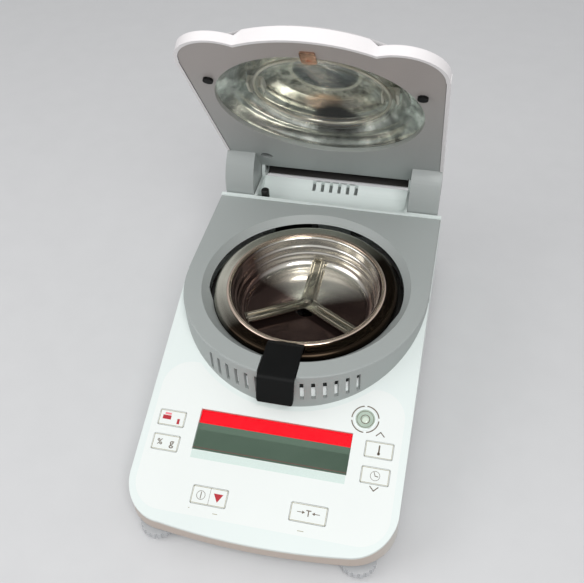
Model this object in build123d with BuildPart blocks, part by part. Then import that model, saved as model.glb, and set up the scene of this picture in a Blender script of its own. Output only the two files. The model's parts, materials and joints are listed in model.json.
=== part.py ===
from build123d import *
import math
import os

# Halogen moisture analyzer, hood open. Millimetres, Z up, the front faces -Y.
# The origin lies on the bench under the middle of the housing.

os.makedirs("parts", exist_ok=True)

# Housing
body_width = 165
body_depth = 280
half_width = body_width / 2
half_depth = body_depth / 2
wall = 2.5
front_bulge = 3.5
front_corner = 25
rear_corner = 7
lip_bottom = 11.5
front_height = 20
deck_height = 77
ledge_height = 72
strip_front = 104.2
strip_height = 77.6
panel_slope = math.radians(18.96)

# Sample chamber, all round one vertical axis
chamber_y = 23.5
collar_radius = 82
collar_half_width = 82.3
collar_bottom = 44
opening_radius = 70
funnel_radius = 63
funnel_height = 69
slot_count = 15
slot_pitch = 5
slot_width = 2.5
slot_bottom = 55.5
slot_top = 71

# Hinge and hood
pivot_y = 139.9
pivot_z = 81
open_angle = math.radians(57)
drum_radius = 32
drum_recess = 33
drum_inner = 58
drum_outer = 79.5
cheek_inner = 55.3
cheek_outer = 57.5
hood_half_width = 79.5
hood_gap = 1.5
ear_x = 52
ear_y = -50
ear_radius = 27
ear_height = 7.5
dome_radius = 84
dome_edge_height = 10
hood_height = 36
mouth_radius = 66

# Control panel, sizes along the slope
key_travel = 0.5
key_gap = 0.25
key_flange = 1.2
key_flange_thickness = 0.8
window_width = 96
window_length = 25.6
window_y = -80.5
overlay_thickness = 0.5
level_x = 54.1
level_y = -58.8

# Pan handler
grip_width = 23
grip_thickness = 2.4
grip_x = -1

# Feet and tray
tray_bottom = 8
tray_floor = 10.5
tray_inset = 5
foot_x = 62
front_foot_y = -128
rear_foot_y = 115


def panel_z(y):
    """Height of the panel surface at a distance y along the body."""
    return front_height + math.tan(panel_slope) * (y + half_depth)


panel_plane = Plane(
    origin=(0, window_y, panel_z(window_y)),
    x_dir=(1, 0, 0),
    z_dir=(0, -math.sin(panel_slope), math.cos(panel_slope)),
)
panel_axis = Axis(panel_plane.origin, panel_plane.z_dir)


def on_panel(x, y):
    """Panel-plane coordinates of the surface point over (x, y)."""
    return (x, (y - window_y) / math.cos(panel_slope))


chamber_axis = Axis((0, chamber_y, 0), (0, 0, 1))
chamber_section = Plane(origin=(0, chamber_y, 0), x_dir=(1, 0, 0), z_dir=(0, -1, 0))
side_section = Plane.YZ

# The hood is drawn closed in its own frame, whose origin is the chamber centre at deck
# height, and that frame is swung back about the pivot by the opening angle.
reach_y = chamber_y - pivot_y
reach_z = deck_height - pivot_z
hood_frame = Plane(
    origin=(
        0,
        pivot_y + reach_y * math.cos(open_angle) + reach_z * math.sin(open_angle),
        pivot_z - reach_y * math.sin(open_angle) + reach_z * math.cos(open_angle),
    ),
    x_dir=(1, 0, 0),
    z_dir=(0, math.sin(open_angle), math.cos(open_angle)),
)
hood_axis = Axis(hood_frame.origin, hood_frame.z_dir)
hood_section = Plane(origin=hood_frame.origin, x_dir=(1, 0, 0), z_dir=-hood_frame.y_dir)
hood_side = Plane(origin=hood_frame.origin, x_dir=hood_frame.y_dir, z_dir=(1, 0, 0))
hood_pivot = (-reach_y, -reach_z)


def side_plane(x):
    """Upright plane along the body at a distance x from its middle."""
    return Plane(origin=(x, 0, 0), x_dir=(0, 1, 0), z_dir=(1, 0, 0))


def hood_side_plane(x):
    """The same plane in the hood's own frame."""
    return hood_side.offset(x)


def body_outline(inset):
    """Housing outline from above, with its bowed front edge."""
    corner_x = half_width - front_corner
    corner_y = -half_depth + front_bulge
    with BuildSketch() as outline:
        with BuildLine():
            front = ThreePointArc((-corner_x, corner_y), (0, -half_depth), (corner_x, corner_y))
            turn = TangentArc(
                front @ 1, (half_width, corner_y + front_corner), tangent=front % 1
            )
            right = Line(turn @ 1, (half_width, half_depth))
            back = Line(right @ 1, (-half_width, half_depth))
            left = Line(back @ 1, (-half_width, corner_y + front_corner))
            TangentArc(left @ 1, front @ 0, tangent=left % 1)
        make_face()
        fillet(outline.vertices().group_by(Axis.Y)[-1], rear_corner)
        if inset:
            offset(amount=-inset, mode=Mode.REPLACE)
    return outline.sketch


def collar_outline(inset):
    """Round-fronted chamber collar outline from above."""
    with BuildSketch() as outline:
        with Locations((0, chamber_y)):
            Circle(collar_radius - inset)
        with Locations((0, chamber_y)):
            Rectangle(
                2 * (collar_half_width - inset),
                strip_front - chamber_y - inset,
                align=(Align.CENTER, Align.MIN),
            )
    return outline.sketch


def hinge_side_faces(inset):
    """Start and depth of the two hinge recesses."""
    return ((cheek_outer - inset, half_width), (-half_width, -cheek_outer + inset))


trough_centre = (120.5, 84)
trough_radius = 15.3


def housing_solid(inset):
    """Outer form of the housing, or the space inside it."""
    with BuildPart() as solid:
        with BuildSketch(Plane.XY.offset(lip_bottom - inset)):
            add(body_outline(inset))
        extrude(amount=deck_height)
        with BuildSketch(side_section):
            with BuildLine():
                Polyline(
                    (-2 * half_depth, 0),
                    (-2 * half_depth, panel_z(-2 * half_depth) + half_depth),
                    (-half_depth - wall, panel_z(-half_depth - wall)),
                    (-half_depth, panel_z(-half_depth)),
                    ((ledge_height - front_height) / math.tan(panel_slope) - half_depth, ledge_height),
                    (strip_front, ledge_height),
                    (strip_front, strip_height),
                    (half_depth - rear_corner, strip_height),
                    (half_depth, strip_height - rear_corner),
                    (half_depth, 0),
                    close=True,
                )
            make_face()
            if inset:
                offset(amount=-inset, kind=Kind.INTERSECTION, mode=Mode.REPLACE)
        extrude(amount=half_width, both=True, mode=Mode.INTERSECT)
        with BuildSketch(side_section):
            with Locations(trough_centre):
                Circle(trough_radius + inset)
        extrude(amount=cheek_inner + inset, both=True, mode=Mode.SUBTRACT)
        for start, end in hinge_side_faces(inset):
            with BuildSketch(side_plane(start)):
                with Locations((pivot_y, pivot_z)):
                    Circle(drum_recess + inset)
            extrude(amount=end - start, mode=Mode.SUBTRACT)
    return solid.part


housing_outer = housing_solid(0)
housing_inner = housing_solid(wall)

# Keys: centre and size on the panel
small_key = (17, 10)
large_key = (22, 10.8)
keys = {
    "print_key": ((-65.5, -77.0), small_key),
    "percent_key": ((-65.5, -91.9), small_key),
    "temperature_key": ((65.2, -75.6), small_key),
    "time_key": ((65.2, -90.4), small_key),
    "power_key": ((-30.3, -118.0), large_key),
    "tare_key": ((30.3, -117.5), large_key),
}
key_corner = 1.2


def key_openings(extra):
    """All key outlines on the panel, grown by extra on each side."""
    with BuildSketch() as openings:
        for (x, y), (width, length) in keys.values():
            with Locations(on_panel(x, y)):
                RectangleRounded(width + 2 * extra, length + 2 * extra, key_corner)
    return openings.sketch


level_hole = 7.3

# Overlay: the thin printed sheet set flush in the panel
overlay_half_width = 78
overlay_front = -130
overlay_back = -40
overlay_corner = 18

with BuildPart() as panel_overlay:
    with BuildSketch(panel_plane):
        with Locations(on_panel(0, (overlay_front + overlay_back) / 2)):
            RectangleRounded(
                2 * overlay_half_width,
                (overlay_back - overlay_front) / math.cos(panel_slope),
                overlay_corner,
            )
        with Locations(on_panel(0, window_y)):
            Rectangle(window_width + 2 * key_gap, window_length + 2 * key_gap, mode=Mode.SUBTRACT)
        with Locations(on_panel(level_x, level_y)):
            Circle(level_hole, mode=Mode.SUBTRACT)
        add(key_openings(key_gap), mode=Mode.SUBTRACT)
    extrude(amount=-overlay_thickness)
    with BuildSketch(Plane.XY):
        with Locations((0, chamber_y)):
            Circle(collar_radius + 3)
    extrude(amount=2 * deck_height, mode=Mode.SUBTRACT)
panel_overlay.part.label = "panel_overlay"
export_step(panel_overlay.part, "parts/panel_overlay.step")

# Upper housing: one moulded shell, open below, with the slotted trough at its back
seat_width = 4
trough_slot_count = 6
trough_slot_pitch = 6.5
trough_slot_length = 6.5
trough_slot_y = 131.6
inlet_x = -30
inlet_z = 34
inlet_size = (30, 32)
serial_x = 28
serial_z = 34
serial_size = (31, 12.5)
plunger_x = -50
plunger_y = 111.5
plunger_radius = 3
plunger_gap = 0.4

with BuildPart() as upper_housing:
    add(housing_outer)
    add(housing_inner, mode=Mode.SUBTRACT)
    with BuildSketch(Plane.XY.offset(collar_bottom)):
        add(collar_outline(seat_width))
    extrude(amount=deck_height, mode=Mode.SUBTRACT)
    with BuildSketch(panel_plane):
        with Locations(on_panel(0, window_y)):
            Rectangle(window_width + 2 * key_gap, window_length + 2 * key_gap)
        with Locations(on_panel(level_x, level_y)):
            Circle(level_hole)
        add(key_openings(key_gap))
    extrude(amount=2 * wall, both=True, mode=Mode.SUBTRACT)
    add(panel_overlay.part, mode=Mode.SUBTRACT)
    with BuildSketch(Plane.XY.offset(ledge_height - 2 * wall)):
        with Locations((0, trough_slot_y)):
            with GridLocations(trough_slot_pitch, 0, trough_slot_count, 1):
                Rectangle(slot_width, trough_slot_length)
    extrude(amount=deck_height, mode=Mode.SUBTRACT)
    with BuildSketch(Plane.XY.offset(ledge_height - 4 * wall)):
        with Locations((plunger_x, plunger_y)):
            Circle(plunger_radius + plunger_gap)
    extrude(amount=deck_height, mode=Mode.SUBTRACT)
    with BuildSketch(Plane.XZ.offset(-half_depth + 2 * wall)):
        with Locations((inlet_x, inlet_z)):
            Rectangle(*inlet_size)
        with Locations((serial_x, serial_z)):
            RectangleRounded(*serial_size, 2)
    extrude(amount=-4 * wall, mode=Mode.SUBTRACT)
upper_housing.part.label = "upper_housing"
export_step(upper_housing.part, "parts/upper_housing.step")

# Base tray: floor, rim inside the housing and the bosses for the feet and screws
rim_height = 16
rim_wall = 2
rim_gap = 0.3
boss_radius = 5
foot_boss_height = 2
foot_bore_radius = 2.55
screw_radius = 1.6
vent_slot = (30, 3)
vent_slot_count = 9
vent_slot_pitch = 7
screw_places = [(-66, -95), (66, -95), (-66, 92), (66, 92)]

with BuildPart() as base_tray:
    with BuildSketch(Plane.XY.offset(tray_bottom)):
        add(body_outline(tray_inset))
    extrude(amount=lip_bottom - tray_bottom)
    with BuildSketch(Plane.XY.offset(lip_bottom)):
        add(body_outline(wall + rim_gap))
    extrude(amount=rim_height - lip_bottom)
    with BuildSketch(Plane.XY.offset(tray_floor)):
        add(body_outline(tray_inset + rim_wall))
    extrude(amount=rim_height, mode=Mode.SUBTRACT)
    with BuildSketch(Plane.XY.offset(tray_floor)):
        with Locations(*screw_places):
            Circle(boss_radius)
    extrude(amount=rim_height - tray_floor)
    with BuildSketch(Plane.XY.offset(tray_floor)):
        with Locations((-foot_x, front_foot_y), (foot_x, front_foot_y)):
            Circle(boss_radius)
    extrude(amount=foot_boss_height)
    with BuildSketch(Plane.XY.offset(tray_bottom)):
        with Locations((-foot_x, front_foot_y), (foot_x, front_foot_y)):
            Circle(foot_bore_radius)
    extrude(amount=rim_height, mode=Mode.SUBTRACT)
    with BuildSketch(Plane.XY.offset(tray_bottom)):
        with Locations(*screw_places):
            Circle(screw_radius)
    extrude(amount=rim_height, mode=Mode.SUBTRACT)
    with BuildSketch(Plane.XY.offset(tray_bottom)):
        with GridLocations(vent_slot_pitch, 0, vent_slot_count, 1):
            SlotOverall(*vent_slot, rotation=90)
    extrude(amount=tray_floor, mode=Mode.SUBTRACT)
base_tray.part.label = "base_tray"
export_step(base_tray.part, "parts/base_tray.step")

# Chamber collar: grey moulding with a slotted round front and a funnel opening
notch_width = grip_width + 1.5
notch_depth = grip_thickness + 0.6
notch_length = 30
notch_y = -50
collar_edge = 1
slot_corner = 0.6
slot_planes = []
for index in range(slot_count):
    slot_angle = math.radians(-90 + (index - (slot_count - 1) / 2) * slot_pitch)
    outward = Vector(math.cos(slot_angle), math.sin(slot_angle), 0)
    slot_planes.append(
        Plane(
            origin=Vector(0, chamber_y, (slot_bottom + slot_top) / 2) + outward * (collar_radius - 2 * wall),
            x_dir=Vector(-math.sin(slot_angle), math.cos(slot_angle), 0),
            z_dir=outward,
        )
    )

with BuildPart() as chamber_collar:
    with BuildSketch(Plane.XY.offset(collar_bottom)):
        add(collar_outline(0))
    extrude(amount=deck_height - collar_bottom)
    fillet(chamber_collar.edges().group_by(Axis.Z)[-1], collar_edge)
    with BuildSketch(Plane.XY.offset(collar_bottom)):
        add(collar_outline(wall))
    extrude(amount=deck_height - wall - collar_bottom, mode=Mode.SUBTRACT)
    with BuildSketch(chamber_section):
        with BuildLine():
            Polyline(
                (0, collar_bottom),
                (opening_radius, collar_bottom),
                (opening_radius, deck_height),
                (0, deck_height),
                close=True,
            )
        make_face()
    revolve(axis=chamber_axis, mode=Mode.SUBTRACT)
    with BuildSketch(chamber_section):
        with BuildLine():
            Polyline(
                (opening_radius, deck_height),
                (funnel_radius, funnel_height),
                (funnel_radius, funnel_height - wall),
                (funnel_radius + wall, funnel_height - wall),
                (opening_radius + wall, deck_height - wall),
                (opening_radius + wall, deck_height),
                close=True,
            )
        make_face()
    revolve(axis=chamber_axis)
    with BuildSketch(*slot_planes):
        RectangleRounded(slot_width, slot_top - slot_bottom, slot_corner)
    extrude(amount=3 * wall, mode=Mode.SUBTRACT)
    with BuildSketch(Plane.XY.offset(deck_height - notch_depth)):
        with Locations((grip_x, notch_y)):
            Rectangle(notch_width, notch_length)
    extrude(amount=notch_depth, mode=Mode.SUBTRACT)
    add(housing_outer, mode=Mode.SUBTRACT)
chamber_collar.part.label = "chamber_collar"
export_step(chamber_collar.part, "parts/chamber_collar.step")

# Vent baffle: white band behind the lower half of the slots
baffle_radius = 76.5
baffle_thickness = 1.5
baffle_drop = 2
baffle_height = 12
baffle_spread = 90

with BuildPart() as vent_baffle:
    with BuildSketch(Plane(origin=(0, chamber_y, slot_bottom - baffle_drop))):
        with BuildLine():
            outer_arc = CenterArc((0, 0), baffle_radius, -90 - baffle_spread / 2, baffle_spread)
            inner_arc = CenterArc((0, 0), baffle_radius - baffle_thickness, -90 - baffle_spread / 2, baffle_spread)
            Line(outer_arc @ 0, inner_arc @ 0)
            Line(outer_arc @ 1, inner_arc @ 1)
        make_face()
    extrude(amount=baffle_height)
vent_baffle.part.label = "vent_baffle"
export_step(vent_baffle.part, "parts/vent_baffle.step")

# Chamber basin: turned bowl under the funnel, with a collar round the pan shaft
basin_radius = 60.5
basin_floor = 46
basin_wall = 1.5
shaft_hole = 6.5

with BuildPart() as chamber_basin:
    with BuildSketch(chamber_section):
        with BuildLine():
            Polyline(
                (funnel_radius + wall, funnel_height - wall),
                (basin_radius - basin_wall, funnel_height - wall),
                (basin_radius - basin_wall, basin_floor + basin_wall),
                (shaft_hole + basin_wall, basin_floor + basin_wall),
                (shaft_hole + basin_wall, basin_floor + 2 * basin_wall),
                (shaft_hole, basin_floor + 2 * basin_wall),
                (shaft_hole, basin_floor),
                (basin_radius, basin_floor),
                (basin_radius, funnel_height - wall - basin_wall),
                (funnel_radius + wall, funnel_height - wall - basin_wall),
                close=True,
            )
        make_face()
    revolve(axis=chamber_axis)
chamber_basin.part.label = "chamber_basin"
export_step(chamber_basin.part, "parts/chamber_basin.step")

# Draft shield: spun bright bowl with a broad rolled rim and two steps in its wall
shield_rim = 62
shield_edge = 49.5
shield_top = 72.5
shield_thickness = 0.8
shield_floor = 51.5
roll_radius = 3
lip_radius = 1.2
step_radius = 0.8
step_points = [(48.9, 66.6), (47.7, 65.4), (47.5, 61.2), (46.4, 60.0), (46.2, 57.6)]
bowl_radius = 40

with BuildPart() as draft_shield:
    with BuildSketch(chamber_section):
        with BuildLine():
            skirt = Line(
                (shield_rim, funnel_height - wall + shield_thickness), (shield_rim, shield_top - roll_radius)
            )
            roll = TangentArc(skirt @ 1, (shield_rim - roll_radius, shield_top), tangent=(0, 1))
            rim = Line(roll @ 1, (shield_edge + lip_radius, shield_top))
            lip = TangentArc(rim @ 1, (shield_edge, shield_top - lip_radius), tangent=(-1, 0))
            steps = FilletPolyline(lip @ 1, *step_points, radius=step_radius)
            curve = TangentArc(steps @ 1, (bowl_radius, shield_floor), tangent=steps % 1)
            Line(curve @ 1, (shaft_hole + 2, shield_floor))
            offset(amount=shield_thickness / 2, side=Side.BOTH)
        make_face()
    revolve(axis=chamber_axis)
draft_shield.part.label = "draft_shield"
export_step(draft_shield.part, "parts/draft_shield.step")

# Pan support: three pressed arms with two ribs each and upturned tips, on the weighing shaft
arm_count = 3
arm_length = 44
arm_width = 9
arm_height = 56
arm_thickness = 1.2
rib_width = 1
rib_pitch = 4.4
rib_height = 0.9
rib_length = 34
tip_width = 6
tip_thickness = 1.6
tip_height = 2.4
hub_radius = 5
hub_depth = 4
nub_radius = 1.8
nub_height = 1.6
shaft_radius = 3.5
shaft_flange = 7
shaft_flange_thickness = 2
shaft_foot = 37.2

with BuildPart() as pan_support:
    with BuildSketch(Plane.XY.offset(arm_height)):
        with Locations((0, chamber_y)):
            with PolarLocations(arm_length / 2, arm_count, start_angle=90):
                SlotOverall(arm_length, arm_width)
    extrude(amount=arm_thickness)
    with BuildSketch(Plane.XY.offset(arm_height + arm_thickness)):
        with Locations((0, chamber_y)):
            with PolarLocations(arm_length / 2 + arm_width / 3, arm_count, start_angle=90):
                with GridLocations(1, rib_pitch, 1, 2):
                    SlotOverall(rib_length, rib_width)
    extrude(amount=rib_height)
    with BuildSketch(Plane.XY.offset(arm_height + arm_thickness)):
        with Locations((0, chamber_y)):
            with PolarLocations(arm_length - tip_thickness / 2, arm_count, start_angle=90):
                Rectangle(tip_thickness, tip_width)
    extrude(amount=tip_height)
    with BuildSketch(Plane.XY.offset(arm_height - hub_depth)):
        with Locations((0, chamber_y)):
            Circle(hub_radius)
            Circle(shaft_radius, mode=Mode.SUBTRACT)
    extrude(amount=hub_depth)
    with BuildSketch(Plane.XY.offset(arm_height + arm_thickness)):
        with Locations((0, chamber_y)):
            Circle(nub_radius)
    extrude(amount=nub_height, taper=20)
pan_support.part.label = "pan_support"
export_step(pan_support.part, "parts/pan_support.step")

with BuildPart() as pan_shaft:
    with BuildSketch(Plane.XY.offset(shaft_foot)):
        with Locations((0, chamber_y)):
            Circle(shaft_radius)
    extrude(amount=arm_height - shaft_foot)
    with BuildSketch(Plane.XY.offset(shaft_foot)):
        with Locations((0, chamber_y)):
            Circle(shaft_flange)
    extrude(amount=shaft_flange_thickness)
pan_shaft.part.label = "pan_shaft"
export_step(pan_shaft.part, "parts/pan_shaft.step")

# Pan handler: flat ring on the shield rim, and its black grip over the collar notch
ring_inner = 50.8
ring_outer = 53.6
ring_bottom = shield_top + shield_thickness / 2
ring_thickness = 1.2
ring_tab = (14, 10)
ring_tab_reach = 3

with BuildPart() as pan_handler_ring:
    with BuildSketch(Plane.XY.offset(ring_bottom)):
        with Locations((0, chamber_y)):
            Circle(ring_outer)
        with Locations((grip_x, chamber_y - ring_outer - ring_tab_reach)):
            RectangleRounded(*ring_tab, 2)
        with Locations((0, chamber_y)):
            Circle(ring_inner, mode=Mode.SUBTRACT)
    extrude(amount=ring_thickness)
pan_handler_ring.part.label = "pan_handler_ring"
export_step(pan_handler_ring.part, "parts/pan_handler_ring.step")

grip_top = deck_height - 0.1
grip_middle = grip_top - grip_thickness / 2
grip_drop_y = -65.2
grip_drop_z = 59.5
grip_bottom = grip_drop_z - grip_thickness / 2
grip_corner = 3.5

with BuildPart() as pan_handler_grip:
    with BuildSketch(side_plane(grip_x - grip_width / 2)):
        with BuildLine():
            FilletPolyline(
                (chamber_y - ring_outer - 0.6, ring_bottom + ring_thickness / 2 + 0.6),
                (chamber_y - ring_outer - 4, grip_middle),
                (chamber_y - collar_radius - 1.5, grip_middle),
                (grip_drop_y, grip_drop_z),
                radius=2,
            )
            offset(amount=grip_thickness / 2, side=Side.BOTH)
        make_face()
    extrude(amount=grip_width)
    with BuildSketch(Plane.XZ):
        with Locations((grip_x, (grip_bottom + deck_height) / 2 + grip_corner)):
            RectangleRounded(grip_width, deck_height - grip_bottom + 2 * grip_corner, grip_corner)
    extrude(amount=half_depth, mode=Mode.INTERSECT)
    add(pan_handler_ring.part, mode=Mode.SUBTRACT)
pan_handler_grip.part.label = "pan_handler_grip"
export_step(pan_handler_grip.part, "parts/pan_handler_grip.step")

# Display: clear window over a printed stripe and the display module
window_thickness = 1.6
stripe_length = 8.5
stripe_thickness = 0.5
module_bottom = 5
stripe_y = window_length / 2 - stripe_length / 2
module_length = window_length - stripe_length

with BuildPart() as display_window:
    with BuildSketch(panel_plane):
        Rectangle(window_width, window_length)
    extrude(amount=-window_thickness)
display_window.part.label = "display_window"
export_step(display_window.part, "parts/display_window.step")

with BuildPart() as display_stripe:
    with BuildSketch(panel_plane.offset(-window_thickness)):
        with Locations((0, stripe_y)):
            Rectangle(window_width, stripe_length)
    extrude(amount=-stripe_thickness)
display_stripe.part.label = "display_stripe"
export_step(display_stripe.part, "parts/display_stripe.step")

with BuildPart() as display_module:
    with BuildSketch(panel_plane.offset(-window_thickness)):
        with Locations((0, module_length / 2 - window_length / 2)):
            Rectangle(window_width, module_length)
    extrude(amount=window_thickness - module_bottom)
    with BuildSketch(panel_plane.offset(-window_thickness - stripe_thickness)):
        with Locations((0, stripe_y)):
            Rectangle(window_width, stripe_length)
    extrude(amount=window_thickness + stripe_thickness - module_bottom)
display_module.part.label = "display_module"
export_step(display_module.part, "parts/display_module.step")

# Keys: capped pads held under the panel by a flange
key_proud = 0.15
key_edge = 0.1
flange_gap = 0.05

for key_name, ((key_x, key_y), (key_width, key_length)) in keys.items():
    with BuildPart() as key_pad:
        with BuildSketch(panel_plane.offset(key_proud)):
            with Locations(on_panel(key_x, key_y)):
                RectangleRounded(key_width, key_length, key_corner)
        extrude(amount=-key_proud - wall - flange_gap)
        with BuildSketch(panel_plane.offset(-wall - flange_gap)):
            with Locations(on_panel(key_x, key_y)):
                RectangleRounded(key_width + 2 * key_flange, key_length + 2 * key_flange, key_corner)
        extrude(amount=-key_flange_thickness)
        fillet(key_pad.edges().group_by(panel_axis)[-1], key_edge)
    key_pad.part.label = key_name
    export_step(key_pad.part, "parts/" + key_name + ".step")

# Keypad board with one dome switch under each key
board_thickness = 1.6
switch_radius = 3
switch_gap = 0.1
switch_top = wall + flange_gap + key_flange_thickness + key_travel + switch_gap
keypad_size = (152, 62)
keypad_corner = 6
keypad_y = -94

with BuildPart() as keypad_board:
    with BuildSketch(panel_plane.offset(-module_bottom)):
        with Locations(on_panel(0, keypad_y)):
            RectangleRounded(*keypad_size, keypad_corner)
        with Locations(on_panel(level_x, level_y)):
            Circle(level_hole + 1, mode=Mode.SUBTRACT)
    extrude(amount=-board_thickness)
    with BuildSketch(panel_plane.offset(-switch_top)):
        for (key_x, key_y), key_size in keys.values():
            with Locations(on_panel(key_x, key_y)):
                Circle(switch_radius)
    extrude(amount=switch_top - module_bottom)
keypad_board.part.label = "keypad_board"
export_step(keypad_board.part, "parts/keypad_board.step")

# Bubble level: bezel cup, vial and the bubble inside it
bezel_depth = 6
bezel_proud = 0.6
vial_radius = 6
vial_depth = 4.5
bubble_radius = 2.6
bubble_depth = 0.8
bubble_thickness = 1.2
bubble_edge = 0.5

with BuildPart() as level_bezel:
    with BuildSketch(panel_plane.offset(bezel_proud)):
        with Locations(on_panel(level_x, level_y)):
            Circle(level_hole)
    extrude(amount=-bezel_depth - bezel_proud)
    fillet(level_bezel.edges().group_by(panel_axis)[-1], bezel_proud / 2)
    with BuildSketch(panel_plane.offset(bezel_proud)):
        with Locations(on_panel(level_x, level_y)):
            Circle(vial_radius)
    extrude(amount=-vial_depth - bezel_proud, mode=Mode.SUBTRACT)
level_bezel.part.label = "level_bezel"
export_step(level_bezel.part, "parts/level_bezel.step")

with BuildPart() as level_bubble:
    with BuildSketch(panel_plane.offset(-bubble_depth)):
        with Locations(on_panel(level_x, level_y)):
            Circle(bubble_radius)
    extrude(amount=-bubble_thickness)
    fillet(level_bubble.edges(), bubble_edge)
level_bubble.part.label = "level_bubble"
export_step(level_bubble.part, "parts/level_bubble.step")

with BuildPart() as level_vial:
    with BuildSketch(panel_plane):
        with Locations(on_panel(level_x, level_y)):
            Circle(vial_radius)
    extrude(amount=-vial_depth)
    add(level_bubble.part, mode=Mode.SUBTRACT)
level_vial.part.label = "level_vial"
export_step(level_vial.part, "parts/level_vial.step")

# Load cell: machined beam, fixed at the back on its block, free under the shaft
cell_length = 74
cell_width = 24
cell_bottom = 16
cell_height = 20.5
cell_back = 86
cell_hole_radius = 7.5
cell_hole_pitch = 20
cell_neck = 6
block_length = 18
block_width = 40
clamp_places = [(-6, 80), (6, 80)]
clamp_head_radius = 4
clamp_head_height = 3

with BuildPart() as load_cell:
    with BuildSketch(side_plane(-cell_width / 2)):
        with Locations((cell_back - cell_length / 2, cell_bottom + cell_height / 2)):
            Rectangle(cell_length, cell_height)
            with GridLocations(cell_hole_pitch, 1, 2, 1):
                Circle(cell_hole_radius, mode=Mode.SUBTRACT)
            Rectangle(cell_hole_pitch, cell_neck, mode=Mode.SUBTRACT)
    extrude(amount=cell_width)
load_cell.part.label = "load_cell"
export_step(load_cell.part, "parts/load_cell.step")

with BuildPart() as load_cell_block:
    with BuildSketch(Plane.XY.offset(tray_floor)):
        with Locations((0, cell_back - block_length / 2)):
            RectangleRounded(block_width, block_length, 2)
    extrude(amount=cell_bottom - tray_floor)
load_cell_block.part.label = "load_cell_block"
export_step(load_cell_block.part, "parts/load_cell_block.step")

with BuildPart() as load_cell_screws:
    with BuildSketch(Plane.XY.offset(cell_bottom + cell_height)):
        with Locations(*clamp_places):
            Circle(clamp_head_radius)
    extrude(amount=clamp_head_height)
load_cell_screws.part.label = "load_cell_screws"
export_step(load_cell_screws.part, "parts/load_cell_screws.step")

# Electronics on the tray
board_height = tray_floor + 3
board_y = -52
board_size = (120, 70)
chip_places = [(-30, -50), (8, -62), (34, -46)]
chip_size = 14
connector_places = [(-44, -74), (44, -74)]
connector_size = (20, 6)
component_height = 2.4
pillar_grid = (110, 60)
pillar_radius = 2.5

with BuildPart() as main_board:
    with BuildSketch(Plane.XY.offset(board_height)):
        with Locations((0, board_y)):
            Rectangle(*board_size)
    extrude(amount=board_thickness)
    with BuildSketch(Plane.XY.offset(board_height + board_thickness)):
        with Locations(*chip_places):
            Rectangle(chip_size, chip_size)
        with Locations(*connector_places):
            Rectangle(*connector_size)
    extrude(amount=component_height)
    with BuildSketch(Plane.XY.offset(tray_floor)):
        with Locations((0, board_y)):
            with GridLocations(*pillar_grid, 2, 2):
                Circle(pillar_radius)
    extrude(amount=board_height - tray_floor)
main_board.part.label = "main_board"
export_step(main_board.part, "parts/main_board.step")

supply_place = (42, 50)
supply_size = (40, 72)
supply_base = 4
transformer_place = (42, 66)
transformer_size = (26, 28)
capacitor_places = [(33, 28), (51, 28)]
capacitor_radius = 7
supply_height = 22

with BuildPart() as power_supply:
    with BuildSketch(Plane.XY.offset(tray_floor)):
        with Locations(supply_place):
            Rectangle(*supply_size)
    extrude(amount=supply_base)
    with BuildSketch(Plane.XY.offset(tray_floor + supply_base)):
        with Locations(transformer_place):
            Rectangle(*transformer_size)
        with Locations(*capacitor_places):
            Circle(capacitor_radius)
    extrude(amount=supply_height)
power_supply.part.label = "power_supply"
export_step(power_supply.part, "parts/power_supply.step")

# Mains inlet with its fuse drawer, and the data socket
inlet_depth = 26
inlet_face = half_depth + 1.5
flange_thickness = 1.5
socket_size = (24.5, 16.5)
socket_z = inlet_z - 6
socket_depth = 17
drawer_z = inlet_z + 10
drawer_size = (20, 6.4)
drawer_depth = 14
drawer_gap = 0.6
drawer_face = (22, 8)
drawer_face_thickness = 1.2
inlet_gap = 0.4
inlet_flange = 5
pin_size = (2, 4)
pin_length = 10
pin_places = [(inlet_x - 7, socket_z - 2), (inlet_x + 7, socket_z - 2), (inlet_x, socket_z + 2)]

with BuildPart() as power_inlet:
    with BuildSketch(Plane.XZ.offset(-inlet_face)):
        with Locations((inlet_x, inlet_z)):
            RectangleRounded(inlet_size[0] + inlet_flange, inlet_size[1] + inlet_flange, 2)
    extrude(amount=flange_thickness)
    with BuildSketch(Plane.XZ.offset(-inlet_face + flange_thickness)):
        with Locations((inlet_x, inlet_z)):
            Rectangle(inlet_size[0] - inlet_gap, inlet_size[1] - inlet_gap)
    extrude(amount=inlet_depth)
    with BuildSketch(Plane.XZ.offset(-inlet_face)):
        with Locations((inlet_x, socket_z)):
            Rectangle(*socket_size)
    extrude(amount=socket_depth, mode=Mode.SUBTRACT)
    with BuildSketch(Plane.XZ.offset(-inlet_face)):
        with Locations((inlet_x, drawer_z)):
            Rectangle(drawer_size[0] + drawer_gap, drawer_size[1] + drawer_gap)
    extrude(amount=drawer_depth + drawer_gap, mode=Mode.SUBTRACT)
power_inlet.part.label = "power_inlet"
export_step(power_inlet.part, "parts/power_inlet.step")

with BuildPart() as inlet_pins:
    with BuildSketch(Plane.XZ.offset(-inlet_face + socket_depth)):
        with Locations(*pin_places):
            Rectangle(*pin_size)
    extrude(amount=-pin_length)
inlet_pins.part.label = "inlet_pins"
export_step(inlet_pins.part, "parts/inlet_pins.step")

with BuildPart() as fuse_drawer:
    with BuildSketch(Plane.XZ.offset(-inlet_face)):
        with Locations((inlet_x, drawer_z)):
            Rectangle(*drawer_size)
    extrude(amount=drawer_depth)
    with BuildSketch(Plane.XZ.offset(-inlet_face)):
        with Locations((inlet_x, drawer_z)):
            Rectangle(*drawer_face)
    extrude(amount=-drawer_face_thickness)
fuse_drawer.part.label = "fuse_drawer"
export_step(fuse_drawer.part, "parts/fuse_drawer.step")

serial_flange = (35, 15.5)
serial_flange_thickness = 0.8
serial_shell = (18, 8.5)
serial_shell_length = 5
serial_depth = 10

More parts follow.
